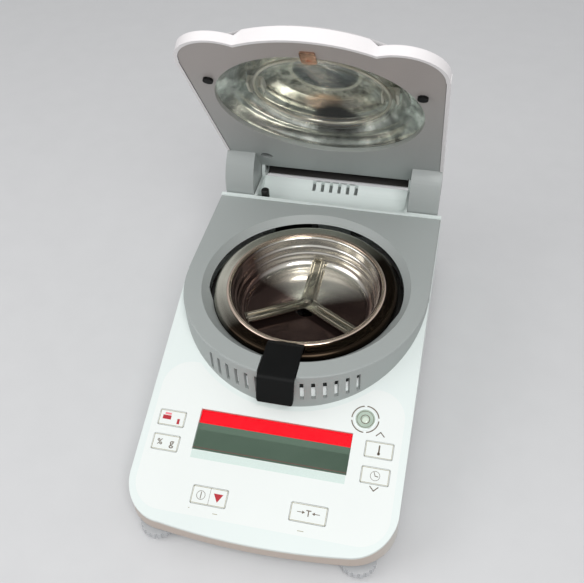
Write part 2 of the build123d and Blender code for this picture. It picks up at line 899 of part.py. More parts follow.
with BuildPart() as data_socket:
    with BuildSketch(Plane.XZ.offset(-half_depth - serial_flange_thickness)):
        with Locations((serial_x, serial_z)):
            RectangleRounded(*serial_flange, 2)
    extrude(amount=serial_flange_thickness)
    with BuildSketch(Plane.XZ.offset(-half_depth)):
        with Locations((serial_x, serial_z)):
            RectangleRounded(serial_size[0] - 1, serial_size[1] - 1, 2)
    extrude(amount=serial_depth)
    with BuildSketch(Plane.XZ.offset(-half_depth - serial_flange_thickness)):
        with Locations((serial_x, serial_z)):
            SlotOverall(*serial_shell)
    extrude(amount=-serial_shell_length)
data_socket.part.label = "data_socket"
export_step(data_socket.part, "parts/data_socket.step")

# Feet: two turnable levelling wheels in front, two fixed pads behind
wheel_radius = 11
wheel_top = 7.6
wheel_bottom = 3
wheel_grooves = 18
groove_radius = 0.8
pad_radius = 8
stem_radius = 2.5
stem_top = 14
rear_pad_radius = 9

for foot_name, side in (("front_foot_left", -1), ("front_foot_right", 1)):
    with BuildPart() as levelling_foot:
        with BuildSketch():
            with Locations((side * foot_x, front_foot_y)):
                Circle(pad_radius)
        extrude(amount=wheel_bottom)
        with BuildSketch(Plane.XY.offset(wheel_bottom)):
            with Locations((side * foot_x, front_foot_y)):
                Circle(wheel_radius)
                with PolarLocations(wheel_radius, wheel_grooves):
                    Circle(groove_radius, mode=Mode.SUBTRACT)
        extrude(amount=wheel_top - wheel_bottom)
        with BuildSketch(Plane.XY.offset(wheel_top)):
            with Locations((side * foot_x, front_foot_y)):
                Circle(stem_radius)
        extrude(amount=stem_top - wheel_top)
    levelling_foot.part.label = foot_name
    export_step(levelling_foot.part, "parts/" + foot_name + ".step")

with BuildPart() as rear_feet:
    with BuildSketch():
        with Locations((-foot_x, rear_foot_y), (foot_x, rear_foot_y)):
            Circle(rear_pad_radius)
    extrude(amount=tray_bottom)
rear_feet.part.label = "rear_feet"
export_step(rear_feet.part, "parts/rear_feet.step")

screw_head_radius = 3
screw_head_height = 1.2

with BuildPart() as tray_screws:
    with BuildSketch(Plane.XY.offset(tray_bottom - screw_head_height)):
        with Locations(*screw_places):
            Circle(screw_head_radius)
    extrude(amount=screw_head_height)
    with BuildSketch(Plane.XY.offset(tray_bottom)):
        with Locations(*screw_places):
            Circle(screw_radius)
    extrude(amount=rim_height - tray_bottom)
tray_screws.part.label = "tray_screws"
export_step(tray_screws.part, "parts/tray_screws.step")

# Hinge: two cheeks standing on the housing, pins outward into the hood's drums
pin_radius = 3
bush_radius = 5
bush_clearance = 0.05
cheek_radius = 8
cheek_gap = 1.5
cheek_slot_inner = cheek_inner - 0.7
pin_end = 77
pin_end_gap = 0.3

with BuildPart() as hinge_cheeks:
    for start, end in ((cheek_inner, cheek_outer), (-cheek_outer, -cheek_inner)):
        with BuildSketch(side_plane(start)):
            with Locations((pivot_y, pivot_z)):
                Circle(cheek_radius)
                Rectangle(cheek_radius, 3 * cheek_radius, align=(Align.MAX, Align.MAX))
        extrude(amount=end - start)
        with BuildSketch(side_plane(start)):
            with Locations((pivot_y, pivot_z)):
                Circle(pin_radius)
        extrude(amount=end - start, mode=Mode.SUBTRACT)
    add(housing_outer, mode=Mode.SUBTRACT)
hinge_cheeks.part.label = "hinge_cheeks"
export_step(hinge_cheeks.part, "parts/hinge_cheeks.step")

with BuildPart() as hinge_pins:
    for start, end in ((cheek_inner, pin_end), (-pin_end, -cheek_inner)):
        with BuildSketch(side_plane(start)):
            with Locations((pivot_y, pivot_z)):
                Circle(pin_radius)
        extrude(amount=end - start)
hinge_pins.part.label = "hinge_pins"
export_step(hinge_pins.part, "parts/hinge_pins.step")

# Hood switch plunger beside the hinge, entering a hole in the closed hood's liner
plunger_foot = 62
plunger_top = strip_height + 3
plunger_edge = 1

with BuildPart() as hood_switch_plunger:
    with BuildSketch(Plane.XY.offset(plunger_foot)):
        with Locations((plunger_x, plunger_y)):
            Circle(plunger_radius)
    extrude(amount=plunger_top - plunger_foot)
    fillet(hood_switch_plunger.edges().group_by(Axis.Z)[-1], plunger_edge)
hood_switch_plunger.part.label = "hood_switch_plunger"
export_step(hood_switch_plunger.part, "parts/hood_switch_plunger.step")

# Hood, in its own frame: x across, y along from the chamber centre, z up from the deck
hood_back = 126
hood_wall = 2.2
hood_edge = 22
liner_back = 109
liner_thickness = 3
liner_reveal = 0.3
liner_top = hood_gap + liner_reveal + liner_thickness


def hood_outline(inset, ears):
    """Hood rim from above: round front, with or without its two ears, straight sides."""
    with BuildSketch() as outline:
        Circle(dome_radius - inset)
        if ears:
            with Locations((-ear_x, ear_y), (ear_x, ear_y)):
                Circle(ear_radius - inset)
        with Locations((0, ear_y if ears else 0)):
            Rectangle(
                2 * (hood_half_width - inset),
                hood_back - (ear_y if ears else 0) - inset,
                align=(Align.CENTER, Align.MIN),
            )
        with Locations((0, -dome_radius)):
            Rectangle(
                2 * (hood_half_width - inset),
                hood_back + dome_radius - inset,
                align=(Align.CENTER, Align.MIN),
                mode=Mode.INTERSECT,
            )
    return outline.sketch


def dome_half(inset):
    """Half section of the low dome, from its axis out to its rim."""
    with BuildSketch() as half:
        with BuildLine():
            crown = ThreePointArc(
                (-dome_radius, dome_edge_height - inset),
                (0, hood_height - inset),
                (dome_radius, dome_edge_height - inset),
            )
            Polyline(crown @ 0, (-dome_radius, 0), (dome_radius, 0), crown @ 1)
        make_face()
        Rectangle(dome_radius, hood_height, align=(Align.MIN, Align.MIN), mode=Mode.INTERSECT)
    return half.sketch


def hood_form(inset):
    """Outer form of the hood, or the space inside it: a dome that runs back as a vault."""
    top = hood_height - inset
    back = hood_back - inset
    with BuildPart() as form:
        with BuildSketch(hood_section):
            add(dome_half(inset))
        revolve(axis=hood_axis)
        with BuildSketch(hood_section):
            add(dome_half(inset))
            mirror(about=Plane.YZ)
        extrude(amount=-back)
        with BuildSketch(hood_side):
            with BuildLine():
                floor = Polyline((back, 0), (-dome_radius, 0), (-dome_radius, top), (back - hood_edge, top))
                turn = TangentArc(floor @ 1, (back, top - hood_edge), tangent=(1, 0))
                Line(turn @ 1, floor @ 0)
            make_face()
        extrude(amount=dome_radius, both=True, mode=Mode.INTERSECT)
        with BuildSketch(hood_frame.offset(hood_gap)):
            add(hood_outline(inset, False))
        extrude(amount=hood_height, mode=Mode.INTERSECT)
        with BuildSketch(hood_frame.offset(hood_gap)):
            add(hood_outline(inset, True))
        extrude(amount=ear_height - inset - hood_gap)
    return form.part


# Vents in the top of the dome, under a flat cap
vent_y = -2
vent_count = 5
vent_pitch = 7
vent_length = 36
vent_width = 3
vent_depth = 9
cap_width = 50
cap_length = 42
cap_corner = 8
cap_rise = 2.4
cap_edge = 0.5

hood_outer = hood_form(0)
hood_inner = hood_form(hood_wall)

# Liner: grey floor plate of the hood with the two hinge drums
bumper_x = 64.5
bumper_y = -30
bumper_radius = 3.2
bumper_bottom = 0.1
plunger_hole_gap = 1.5
liner_fit = 0.2
hood_plunger = (plunger_x, plunger_y - chamber_y)

with BuildPart() as hood_liner:
    with BuildSketch(hood_frame.offset(hood_gap + liner_reveal)):
        add(hood_outline(hood_wall + liner_fit, True))
        with Locations((0, liner_back)):
            Rectangle(4 * dome_radius, hood_back, align=(Align.CENTER, Align.MIN), mode=Mode.SUBTRACT)
        Circle(mouth_radius, mode=Mode.SUBTRACT)
        with Locations(hood_plunger):
            Circle(plunger_radius + plunger_hole_gap, mode=Mode.SUBTRACT)
    extrude(amount=liner_thickness)
    for start, end in ((drum_inner, drum_outer), (-drum_outer, -drum_inner)):
        with BuildSketch(hood_side_plane(start)):
            with Locations(hood_pivot):
                Circle(drum_radius)
                Rectangle(
                    3 * drum_radius, 3 * drum_radius, align=(Align.MAX, Align.MAX), mode=Mode.INTERSECT
                )
                Circle(cheek_radius)
        extrude(amount=end - start)
    for start, end in ((drum_inner, pin_end + pin_end_gap), (-pin_end - pin_end_gap, -drum_inner)):
        with BuildSketch(hood_side_plane(start)):
            with Locations(hood_pivot):
                Circle(bush_radius)
        extrude(amount=end - start, mode=Mode.SUBTRACT)
    for start in (cheek_slot_inner, -drum_inner):
        with BuildSketch(hood_side_plane(start)):
            with Locations(hood_pivot):
                Circle(cheek_radius + cheek_gap)
        extrude(amount=drum_inner - cheek_slot_inner, mode=Mode.SUBTRACT)
hood_liner.part.label = "hood_liner"
export_step(hood_liner.part, "parts/hood_liner.step")

with BuildPart() as hood_shell:
    add(hood_outer)
    add(hood_inner, mode=Mode.SUBTRACT)
    with BuildSketch(hood_frame.offset(-1)):
        add(hood_outline(hood_wall, True))
    extrude(amount=hood_wall + 2, mode=Mode.SUBTRACT)
    with BuildSketch(hood_frame.offset(hood_height - vent_depth)):
        with Locations((0, vent_y)):
            with GridLocations(1, vent_pitch, 1, vent_count):
                SlotOverall(vent_length, vent_width)
    extrude(amount=2 * vent_depth, mode=Mode.SUBTRACT)
    for start in (cheek_slot_inner, -drum_inner):
        with BuildSketch(hood_side_plane(start)):
            with Locations(hood_pivot):
                Circle(cheek_radius + cheek_gap)
        extrude(amount=drum_inner - cheek_slot_inner, mode=Mode.SUBTRACT)
    add(hood_liner.part, mode=Mode.SUBTRACT)
hood_shell.part.label = "hood_shell"
export_step(hood_shell.part, "parts/hood_shell.step")

# Heater: spun reflector, ring lamp on two sockets, and the glass across the mouth
glass_radius = 65.7
glass_bottom = 2.2
glass_thickness = 2
lamp_radius = 43
lamp_tube = 4
lamp_height = 13
socket_block = (11, 14)
socket_rise = 5

with BuildPart() as reflector:
    with BuildSketch(hood_section):
        with BuildLine():
            Polyline(
                (mouth_radius + 4, liner_top),
                (mouth_radius - 0.6, liner_top),
                (60, 10.5),
                (56, 11.5),
                (50, 19),
                (44, 20),
                (34, 25.5),
                (22, 27),
                (0, 29.5),
                (0, 30.5),
                (22.4, 28),
                (34.6, 26.4),
                (44.6, 20.9),
                (50.6, 19.9),
                (56.6, 12.4),
                (60.8, 11.3),
                (mouth_radius + 0.2, liner_top + 0.9),
                (mouth_radius + 4, liner_top + 0.9),
                close=True,
            )
        make_face()
    revolve(axis=hood_axis)
reflector.part.label = "reflector"
export_step(reflector.part, "parts/reflector.step")

with BuildPart() as guard_glass:
    with BuildSketch(hood_frame.offset(glass_bottom)):
        Circle(glass_radius)
    extrude(amount=glass_thickness)
guard_glass.part.label = "guard_glass"
export_step(guard_glass.part, "parts/guard_glass.step")

with BuildPart() as halogen_lamp:
    with BuildSketch(hood_section):
        with Locations((lamp_radius, lamp_height)):
            Circle(lamp_tube)
    revolve(axis=hood_axis)
halogen_lamp.part.label = "halogen_lamp"
export_step(halogen_lamp.part, "parts/halogen_lamp.step")

with BuildPart() as lamp_sockets:
    with BuildSketch(hood_frame.offset(lamp_height)):
        with Locations((-lamp_radius, 0), (lamp_radius, 0)):
            RectangleRounded(*socket_block, 2)
    extrude(amount=socket_rise)
    add(halogen_lamp.part, mode=Mode.SUBTRACT)
lamp_sockets.part.label = "lamp_sockets"
export_step(lamp_sockets.part, "parts/lamp_sockets.step")

# Small pieces of the hood
with BuildPart() as hood_bumpers:
    with BuildSketch(hood_frame.offset(bumper_bottom)):
        with Locations((-bumper_x, bumper_y), (bumper_x, bumper_y)):
            Circle(bumper_radius)
    extrude(amount=hood_gap + liner_reveal - bumper_bottom)
hood_bumpers.part.label = "hood_bumpers"
export_step(hood_bumpers.part, "parts/hood_bumpers.step")

sensor_place = (2, -67)
sensor_size = (9, 12)
sensor_corner = 1.5
sensor_bottom = 0.7
sensor_screw_place = (2, -63)
sensor_screw_radius = 2
sensor_screw_height = 0.5

with BuildPart() as temperature_sensor:
    with BuildSketch(hood_frame.offset(sensor_bottom)):
        with Locations(sensor_place):
            RectangleRounded(*sensor_size, sensor_corner)
    extrude(amount=hood_gap + liner_reveal - sensor_bottom)
    with BuildSketch(hood_frame.offset(sensor_bottom)):
        with Locations(sensor_screw_place):
            Circle(sensor_screw_radius)
    extrude(amount=-sensor_screw_height)
temperature_sensor.part.label = "temperature_sensor"
export_step(temperature_sensor.part, "parts/temperature_sensor.step")

with BuildPart() as hinge_bushes:
    for start, end in ((drum_inner, pin_end), (-pin_end, -drum_inner)):
        with BuildSketch(hood_side_plane(start)):
            with Locations(hood_pivot):
                Circle(bush_radius)
                Circle(pin_radius + bush_clearance, mode=Mode.SUBTRACT)
        extrude(amount=end - start)
hinge_bushes.part.label = "hinge_bushes"
export_step(hinge_bushes.part, "parts/hinge_bushes.step")

with BuildPart() as vent_cap:
    with BuildSketch(hood_frame.offset(hood_height - vent_depth)):
        with Locations((0, vent_y)):
            RectangleRounded(cap_width, cap_length, cap_corner)
            with GridLocations(1, vent_pitch, 1, vent_count):
                SlotOverall(vent_length, vent_width, mode=Mode.SUBTRACT)
    extrude(amount=vent_depth + cap_rise)
    fillet(vent_cap.edges().group_by(hood_axis)[-1], cap_edge)
    add(hood_outer, mode=Mode.SUBTRACT)
vent_cap.part.label = "vent_cap"
export_step(vent_cap.part, "parts/vent_cap.step")
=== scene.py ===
import json
import math

import bmesh
import bpy
from bpy.props import FloatProperty, FloatVectorProperty, PointerProperty
from bpy.types import Operator, Panel, PropertyGroup
from mathutils import Matrix, Vector

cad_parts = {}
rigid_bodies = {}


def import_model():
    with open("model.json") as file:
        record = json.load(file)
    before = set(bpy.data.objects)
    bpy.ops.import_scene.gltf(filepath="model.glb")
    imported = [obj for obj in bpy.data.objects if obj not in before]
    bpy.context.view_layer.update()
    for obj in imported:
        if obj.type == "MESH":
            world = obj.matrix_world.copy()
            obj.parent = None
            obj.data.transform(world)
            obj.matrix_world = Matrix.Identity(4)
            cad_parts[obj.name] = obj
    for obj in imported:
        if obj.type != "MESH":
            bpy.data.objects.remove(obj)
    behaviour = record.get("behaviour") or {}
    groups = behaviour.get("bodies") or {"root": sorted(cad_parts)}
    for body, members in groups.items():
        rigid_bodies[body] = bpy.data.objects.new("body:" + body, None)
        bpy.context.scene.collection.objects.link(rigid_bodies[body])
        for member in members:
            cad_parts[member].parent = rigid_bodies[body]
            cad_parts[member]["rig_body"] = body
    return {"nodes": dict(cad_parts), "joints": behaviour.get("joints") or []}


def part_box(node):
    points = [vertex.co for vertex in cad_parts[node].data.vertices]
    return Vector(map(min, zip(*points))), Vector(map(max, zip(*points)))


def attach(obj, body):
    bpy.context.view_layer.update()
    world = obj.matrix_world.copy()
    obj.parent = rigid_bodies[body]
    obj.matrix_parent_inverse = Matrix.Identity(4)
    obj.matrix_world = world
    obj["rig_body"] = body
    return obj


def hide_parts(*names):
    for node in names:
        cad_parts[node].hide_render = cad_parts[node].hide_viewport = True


bl_info = {
    "name": "Moisture analyzer looks",
    "version": (1, 0, 0),
    "blender": (4, 5, 0),
    "location": "3D View > Sidebar > Analyzer",
    "description": "Dresses the moisture analyzer: mouldings, bright chamber, panel prints, hood",
    "category": "Object",
}

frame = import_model()
nodes = frame["nodes"]
joints = {joint["name"]: joint for joint in frame["joints"]}
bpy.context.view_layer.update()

MM = 0.001

# Steps round the large revolved parts
ROUND = 144

# Prints, in millimetres: ink thickness, and how far they lie above the panel plane
INK = 0.06
ON_KEY = 0.18
ON_FILM = 0.03
IN_BEZEL = 0.05

# Point that the lamps aim at, in metres
LAMP_AIM = (0, 0.02, 0.08)

# The photograph's camera: its place in metres and its own axes
CAMERA_PLACE = (0.0878, -0.3466, 0.4490)
CAMERA_AXES = (
    (0.97487, 0.21978, -0.03629),
    (-0.13071, 0.69630, 0.70574),
    (0.18038, -0.68327, 0.70754),
)


def corners(node):
    """Lowest and highest corner of a node, as vectors."""
    low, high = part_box(node)
    return Vector(low), Vector(high)


def middle(node):
    """Centre of a node's box."""
    low, high = corners(node)
    return (low + high) / 2


# Places taken from the frame: the chamber axis, the panel plane and the hood's own plane
chamber = middle("chamber_basin")
deck_z = corners("chamber_collar")[1].z
hinge_point = Vector(joints["hood_hinge"]["pos_m"])
open_angle = math.radians(joints["hood_hinge"]["range_deg"][1])
panel_normal = Vector(joints["power_key_press"]["axis"]).normalized()
panel_tilt = math.atan2(-panel_normal.y, panel_normal.z)

CHAMBER = Matrix.Translation((chamber.x, chamber.y, 0))
SWING = (
    Matrix.Translation(hinge_point)
    @ Matrix.Rotation(-open_angle, 4, "X")
    @ Matrix.Translation(-hinge_point)
)
HOOD = SWING @ Matrix.Translation((0, chamber.y, deck_z))


def panel_corner():
    """Back edge of the display window's upper face, from the box of the tilted plate."""
    low, high = corners("display_window")
    size = high - low
    across = size.z * math.cos(panel_tilt) - size.y * math.sin(panel_tilt)
    thickness = across / math.cos(2 * panel_tilt)
    return high.y - thickness * math.sin(panel_tilt), high.z


def panel_place(x, y, lift):
    """Transform of a print at (x, y) millimetres on the panel, raised along its normal."""
    edge_y, edge_z = panel_corner()
    spot = Vector((x * MM, y * MM, edge_z - (edge_y - y * MM) * math.tan(panel_tilt)))
    return (
        Matrix.Translation(spot + panel_normal * lift * MM)
        @ Matrix.Rotation(panel_tilt, 4, "X")
    )


# Shader maths


class Value:
    """A socket of a finish, so that maths on it reads as Python."""

    def __init__(self, finish, socket):
        self.finish = finish
        self.socket = socket

    def maths(self, operation, *others):
        """Result of one maths node."""
        return self.finish.node("ShaderNodeMath", {"operation": operation}, (self, *others))

    def __add__(self, other):
        return self.maths("ADD", other)

    def __radd__(self, other):
        return self.maths("ADD", other)

    def __sub__(self, other):
        return self.maths("SUBTRACT", other)

    def __rsub__(self, other):
        return self.finish.node("ShaderNodeMath", {"operation": "SUBTRACT"}, (other, self))

    def __mul__(self, other):
        return self.maths("MULTIPLY", other)

    def __rmul__(self, other):
        return self.maths("MULTIPLY", other)

    def __truediv__(self, other):
        return self.maths("DIVIDE", other)

    def clamped(self):
        """Kept between 0 and 1."""
        return self.finish.node("ShaderNodeClamp", {}, (self,))


class Finish:
    """One procedural material, built round a Principled shader."""

    def __init__(self, name, **constants):
        self.material = bpy.data.materials.new(name)
        self.material.use_nodes = True
        self.tree = self.material.node_tree
        self.shader = self.tree.nodes["Principled BSDF"]
        self.output = self.tree.nodes["Material Output"]
        self.drive(**constants)

    def connect(self, value, socket):
        """Links a value to a socket, or sets a number or colour on it."""
        if isinstance(value, Value):
            self.tree.links.new(value.socket, socket)
        elif value is not None:
            socket.default_value = value

    def node(self, kind, settings=None, values=(), output=0):
        """Adds a node: its settings first, then its sockets by position or by name."""
        made = self.tree.nodes.new(kind)
        for name, setting in (settings or {}).items():
            if name == "stops":
                ramp = made.color_ramp
                while len(ramp.elements) < len(setting):
                    ramp.elements.new(0.5)
                for element, (place, colour) in zip(ramp.elements, setting):
                    element.position = place
                    element.color = (*colour, 1.0)
            else:
                setattr(made, name, setting)
        pairs = values.items() if isinstance(values, dict) else enumerate(values)
        for key, value in pairs:
            self.connect(value, made.inputs[key])
        return Value(self, made.outputs[output])

    def place(self):
        """Object coordinates."""
        return self.node("ShaderNodeTexCoord", output="Object")

    def noise(self, scale, detail=3.0, roughness=0.55, stretch=None, vector=None):
        """Noise in space, or along a vector that is given."""
        where = vector or self.place()
        if stretch:
            where = self.node("ShaderNodeMapping", {}, {"Vector": where, "Scale": stretch})
        settings = {"Vector": where, "Scale": scale, "Detail": detail, "Roughness": roughness}
        return self.node("ShaderNodeTexNoise", {}, settings)

    def split(self, vector):
        """The three numbers of a vector."""
        first = self.node("ShaderNodeSeparateXYZ", {}, (vector,))
        return [Value(self, socket) for socket in first.socket.node.outputs]

    def polar(self, centre, tilt=0.0):
        """Two flat coordinates and the radius about an axis through centre."""
        local = self.node(
            "ShaderNodeMapping",
            {"vector_type": "TEXTURE"},
            {"Vector": self.place(), "Location": centre, "Rotation": (tilt, 0.0, 0.0)},
        )
        x, y, _ = self.split(local)
        return x, y, (x * x + y * y).maths("SQRT")

    def blend(self, factor, first, second):
        """Mix of two colours."""
        settings = {"data_type": "RGBA"}
        return self.node("ShaderNodeMix", settings, {0: factor, 6: first, 7: second}, output=2)

    def steps(self, value, *stops):
        """Colour ramp."""
        return self.node("ShaderNodeValToRGB", {"stops": stops}, (value,))

    def bump(self, height, strength, distance):
        """Fine relief, its distance in metres."""
        values = {"Height": height, "Strength": strength, "Distance": distance}
        self.drive(normal=self.node("ShaderNodeBump", {}, values))

    def drive(self, **inputs):
        """Connects values to the Principled shader's sockets, or sets them."""
        for name, value in inputs.items():
            socket_name = name.replace("_", " ").title().replace("Ior", "IOR")
            self.connect(value, self.shader.inputs[socket_name])


class Sky(Finish):
    """The nodes of the studio's world."""

    def __init__(self, world):
        world.use_nodes = True
        self.tree = world.node_tree
        self.background = self.tree.nodes["Background"]


def linear(level):
    """Linear light of a level from 0 to 255."""
    share = level / 255
    return share / 12.92 if share <= 0.04045 else ((share + 0.055) / 1.055) ** 2.4


def colour(red, green, blue):
    """Linear colour from the levels that a picture shows."""
    return (linear(red), linear(green), linear(blue), 1.0)


def scaled(base, amount):
    """Colour made lighter or darker."""
    return tuple(min(1.0, channel * amount) for channel in base[:3]) + (1.0,)


def moulding(name, base, roughness, grain=0.06, coat=0.0, gleam=0.45, tinted=None):
    """Moulded plastic: faint cloudy colour, fine tool grain and soft handling marks."""
    finish = Finish(name, roughness=roughness, coat_weight=coat, specular_ior_level=gleam)
    cloud = finish.noise(14.0, 4.0)
    grain_field = finish.noise(2600.0, 2.0, 0.6)
    rubbed = finish.noise(60.0, 6.0, 0.7)
    tint = finish.blend(cloud, scaled(base, 0.965), scaled(base, 1.02))
    if tinted:
        tint = tinted(finish, tint)
    finish.drive(base_color=tint, roughness=roughness - 0.05 + rubbed * 0.1)
    finish.bump(grain_field * 0.7 + rubbed * 0.3, grain, 0.00012)
    return finish.material


def spun_metal(name, base, roughness, rings, centre, tilt=0.0, shade=None, metallic=1.0):
    """Bright spun metal: fine turning rings about an axis, smears, stains, and, when shade is
    given, a painted shade on one side.
    """
    finish = Finish(name, metallic=metallic, roughness=roughness)
    x, y, radius = finish.polar(centre, tilt)
    ring_line = finish.node("ShaderNodeCombineXYZ", {}, (radius, 0.0, 0.0))
    turned = finish.noise(rings, 3.0, 0.6, vector=ring_line)
    smear = finish.noise(35.0, 5.0, 0.65)
    stain_and_shade_edge = finish.noise(11.0, 3.0, 0.5)
    tint = finish.blend(stain_and_shade_edge, scaled(base, 0.9), base)
    # Painted shade: the side away from the given direction is tinted towards the dark colour, its
    # edge ragged by the stain noise.
    if shade:
        (side_x, side_y), low, high, painted_dark = shade
        facing = (x * side_x + y * side_y) / radius + (stain_and_shade_edge - 0.5) * 0.5
        painted_light = ((facing - low) / (high - low)).clamped()
        tint = finish.blend(painted_light, painted_dark, tint)
    finish.drive(base_color=tint, roughness=(smear - 0.5) * 0.12 + turned * 0.06 + roughness)
    finish.bump(turned * 0.8 + smear * 0.2, 0.05, 0.0001)
    return finish.material


def reflector_metal(name, centre, tilt):
    """Reflector with painted reflections: silvery sweeps, a blue-grey crown with a pale rim, a
    copper-cream highlight and a dark brown spot.
    """
    finish = Finish(name, metallic=0.86, roughness=0.2)
    x, y, radius = finish.polar(centre, tilt)
    sweep = finish.node("ShaderNodeCombineXYZ", {}, (x / radius, y / radius, radius * 34.0))
    broad = finish.noise(2.3, 3.0, 0.55, vector=sweep)
    fine = finish.noise(9.0, 4.0, 0.6, vector=sweep)
    ring_line = finish.node("ShaderNodeCombineXYZ", {}, (radius, 0.0, 0.0))
    turned = finish.noise(1500.0, 3.0, 0.6, vector=ring_line)
    # Painted reflections: dark and bright sweeps stand in for what the mirror reflects.
    tint = finish.steps(
        broad * 0.72 + fine * 0.28,
        (0.28, colour(58, 57, 54)[:3]),
        (0.42, colour(156, 158, 152)[:3]),
        (0.52, colour(212, 214, 208)[:3]),
        (0.62, colour(248, 247, 242)[:3]),
        (0.72, colour(160, 160, 152)[:3]),
    )
    # Painted reflection: a blue-grey disc round the centre with a pale ring at its edge.
    crown_radius, rim_radius, half_rim = 0.019, 0.0225, 0.0008
    painted_crown_reflection = (1.0 - (radius - crown_radius) / 0.003).clamped()
    from_rim = (radius - rim_radius).maths("ABSOLUTE")
    rim = (1.0 - (from_rim - half_rim) / 0.001).clamped()
    tint = finish.blend(painted_crown_reflection * 0.75, tint, colour(84, 92, 104))
    tint = finish.blend(rim * 0.8, tint, colour(250, 246, 236))
    # Painted highlight and painted reflection: a copper-cream patch and a dark brown spot, with
    # ragged edges.
    ragged = finish.noise(120.0, 4.0, 0.6) * 0.008
    painted_copper_highlight = ((-0.004, 0.035), 0.009, colour(252, 226, 204))
    painted_dark_reflection = ((0.004, 0.047), 0.0135, colour(26, 14, 10))
    for (spot_x, spot_y), size, shade in (painted_copper_highlight, painted_dark_reflection):
        away_x, away_y = x - spot_x, y - spot_y
        distance = (away_x * away_x * 0.5 + away_y * away_y * 1.5).maths("SQRT") + ragged
        tint = finish.blend((1.0 - (distance - size) / 0.005).clamped(), tint, shade)
    finish.drive(base_color=tint, roughness=turned * 0.08 + fine * 0.12 + 0.1)
    finish.bump(turned * 0.7 + fine * 0.3, 0.12, 0.00025)
    return finish.material


def satin_metal(name, base, roughness=0.32):
    """Machined metal with a fine directional grain."""
    finish = Finish(name, metallic=1.0, roughness=roughness)
    brushed = finish.noise(900.0, 3.0, 0.6, stretch=(1.0, 0.05, 1.0))
    wear = finish.noise(70.0, 4.0)
    finish.drive(
        base_color=finish.blend(wear, scaled(base, 0.85), base),
        roughness=roughness - 0.08 + brushed * 0.16,
    )
    finish.bump(brushed, 0.08, 0.0001)
    return finish.material


def clear_sheet(name, tint, gloss=0.03, body=0.03):
    """Thin clear sheet: see-through, with a faint dusty shine on both of its faces."""
    finish = Finish(name)
    dust = finish.noise(180.0, 6.0, 0.7)
    through = finish.node("ShaderNodeBsdfTransparent", {}, {"Color": tint})
    gleam = {"Color": (1, 1, 1, 1), "Roughness": dust * 0.04 + gloss}
    shine = finish.node("ShaderNodeBsdfGlossy", {}, gleam)
    mixed = finish.node("ShaderNodeMixShader", {}, (dust * 0.02 + body, through, shine))
    finish.connect(mixed, finish.output.inputs["Surface"])
    return finish.material


def printed_ink(name, base):
    """Screen-printed ink, slightly uneven."""
    finish = Finish(name, roughness=0.5)
    patchy = finish.noise(1400.0, 3.0)
    tint = finish.blend(patchy, base, scaled(base, 1.25))
    finish.drive(base_color=tint, roughness=patchy * 0.2 + 0.4)
    finish.bump(patchy, 0.1, 0.00003)
    return finish.material


# Mesh helpers


def wear(piece, material, smooth=True, angle=32.0):
    """Gives a piece one material and its shading."""
    piece.data.materials.clear()
    piece.data.materials.append(material)
    if smooth:
        piece.data.shade_smooth()
        piece.data.set_sharp_from_angle(angle=math.radians(angle))


def finish_mesh(name, mesh_builder, place, body, material, smooth=True, angle=32.0):
    """Closes a bmesh into a piece whose place is in its mesh, riding on a body."""
    bmesh.ops.remove_doubles(mesh_builder, verts=mesh_builder.verts, dist=1e-6)
    bmesh.ops.recalc_face_normals(mesh_builder, faces=mesh_builder.faces)
    mesh_builder.transform(place)
    mesh = bpy.data.meshes.new(name)
    mesh_builder.to_mesh(mesh)
    mesh_builder.free()
    piece = bpy.data.objects.new(name, mesh)
    bpy.context.scene.collection.objects.link(piece)
    wear(piece, material, smooth, angle)
    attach(piece, body)
    return piece


def spun(profile, steps, closed=True):
    """Revolves a profile of (radius, height) millimetres about Z."""
    shape = bmesh.new()
    verts = [shape.verts.new((radius * MM, 0, height * MM)) for radius, height in profile]
    pairs = list(zip(verts, verts[1:])) + ([(verts[-1], verts[0])] if closed else [])
    edges = [shape.edges.new(pair) for pair in pairs]
    bmesh.ops.spin(
        shape,
        geom=verts + edges,
        cent=(0, 0, 0),
        axis=(0, 0, 1),
        angle=math.tau,
        steps=steps,
        use_merge=True,
    )
    return shape


def rounded_box(shape, size, place, bevel=0.0, segments=2):
    """Adds a box of millimetres, with its edges rounded, to a bmesh."""
    made = bmesh.ops.create_cube(shape, size=1.0)["verts"]
    bmesh.ops.scale(shape, vec=Vector(size) * MM, verts=made)
    if bevel:
        edges = list({edge for vert in made for edge in vert.link_edges})
        made = bmesh.ops.bevel(
            shape,
            geom=edges,
            offset=bevel * MM,
            segments=segments,
            profile=0.5,
            affect="EDGES",
        )["verts"]
    bmesh.ops.transform(shape, matrix=place, verts=list(set(made)))


def stroke(shape, start, end, width):
    """Adds a printed line between two points of millimetres, lying on the local plane."""
    first, last = Vector((*start, 0)) * MM, Vector((*end, 0)) * MM
    run = last - first
    turn = Matrix.Rotation(math.atan2(run.y, run.x), 4, "Z")
    place = Matrix.Translation((first + last) / 2) @ turn
    rounded_box(shape, (run.length / MM + width, width, INK), place)


def outline_box(shape, width, height, line):
    """Adds a printed rectangle outline."""
    x, y = width / 2, height / 2
    ring = [(-x, -y), (x, -y), (x, y), (-x, y)]
    for start, end in zip(ring, ring[1:] + ring[:1]):
        stroke(shape, start, end, line)


def printed_block(shape, width, height, centre=(0, 0)):
    """Adds a filled printed rectangle."""
    rounded_box(shape, (width, height, INK), Matrix.Translation(Vector((*centre, 0)) * MM))


def printed_disc(shape, radius, centre, sides=40, turn=0.0):
    """Adds a flat printed disc, or with few sides a triangle."""
    spot = Matrix.Translation(Vector((*centre, 0)) * MM)
    bmesh.ops.create_cone(
        shape,
        cap_ends=True,
        segments=sides,
        radius1=radius * MM,
        radius2=radius * MM,
        depth=INK * MM,
        matrix=spot @ Matrix.Rotation(turn, 4, "Z"),
    )


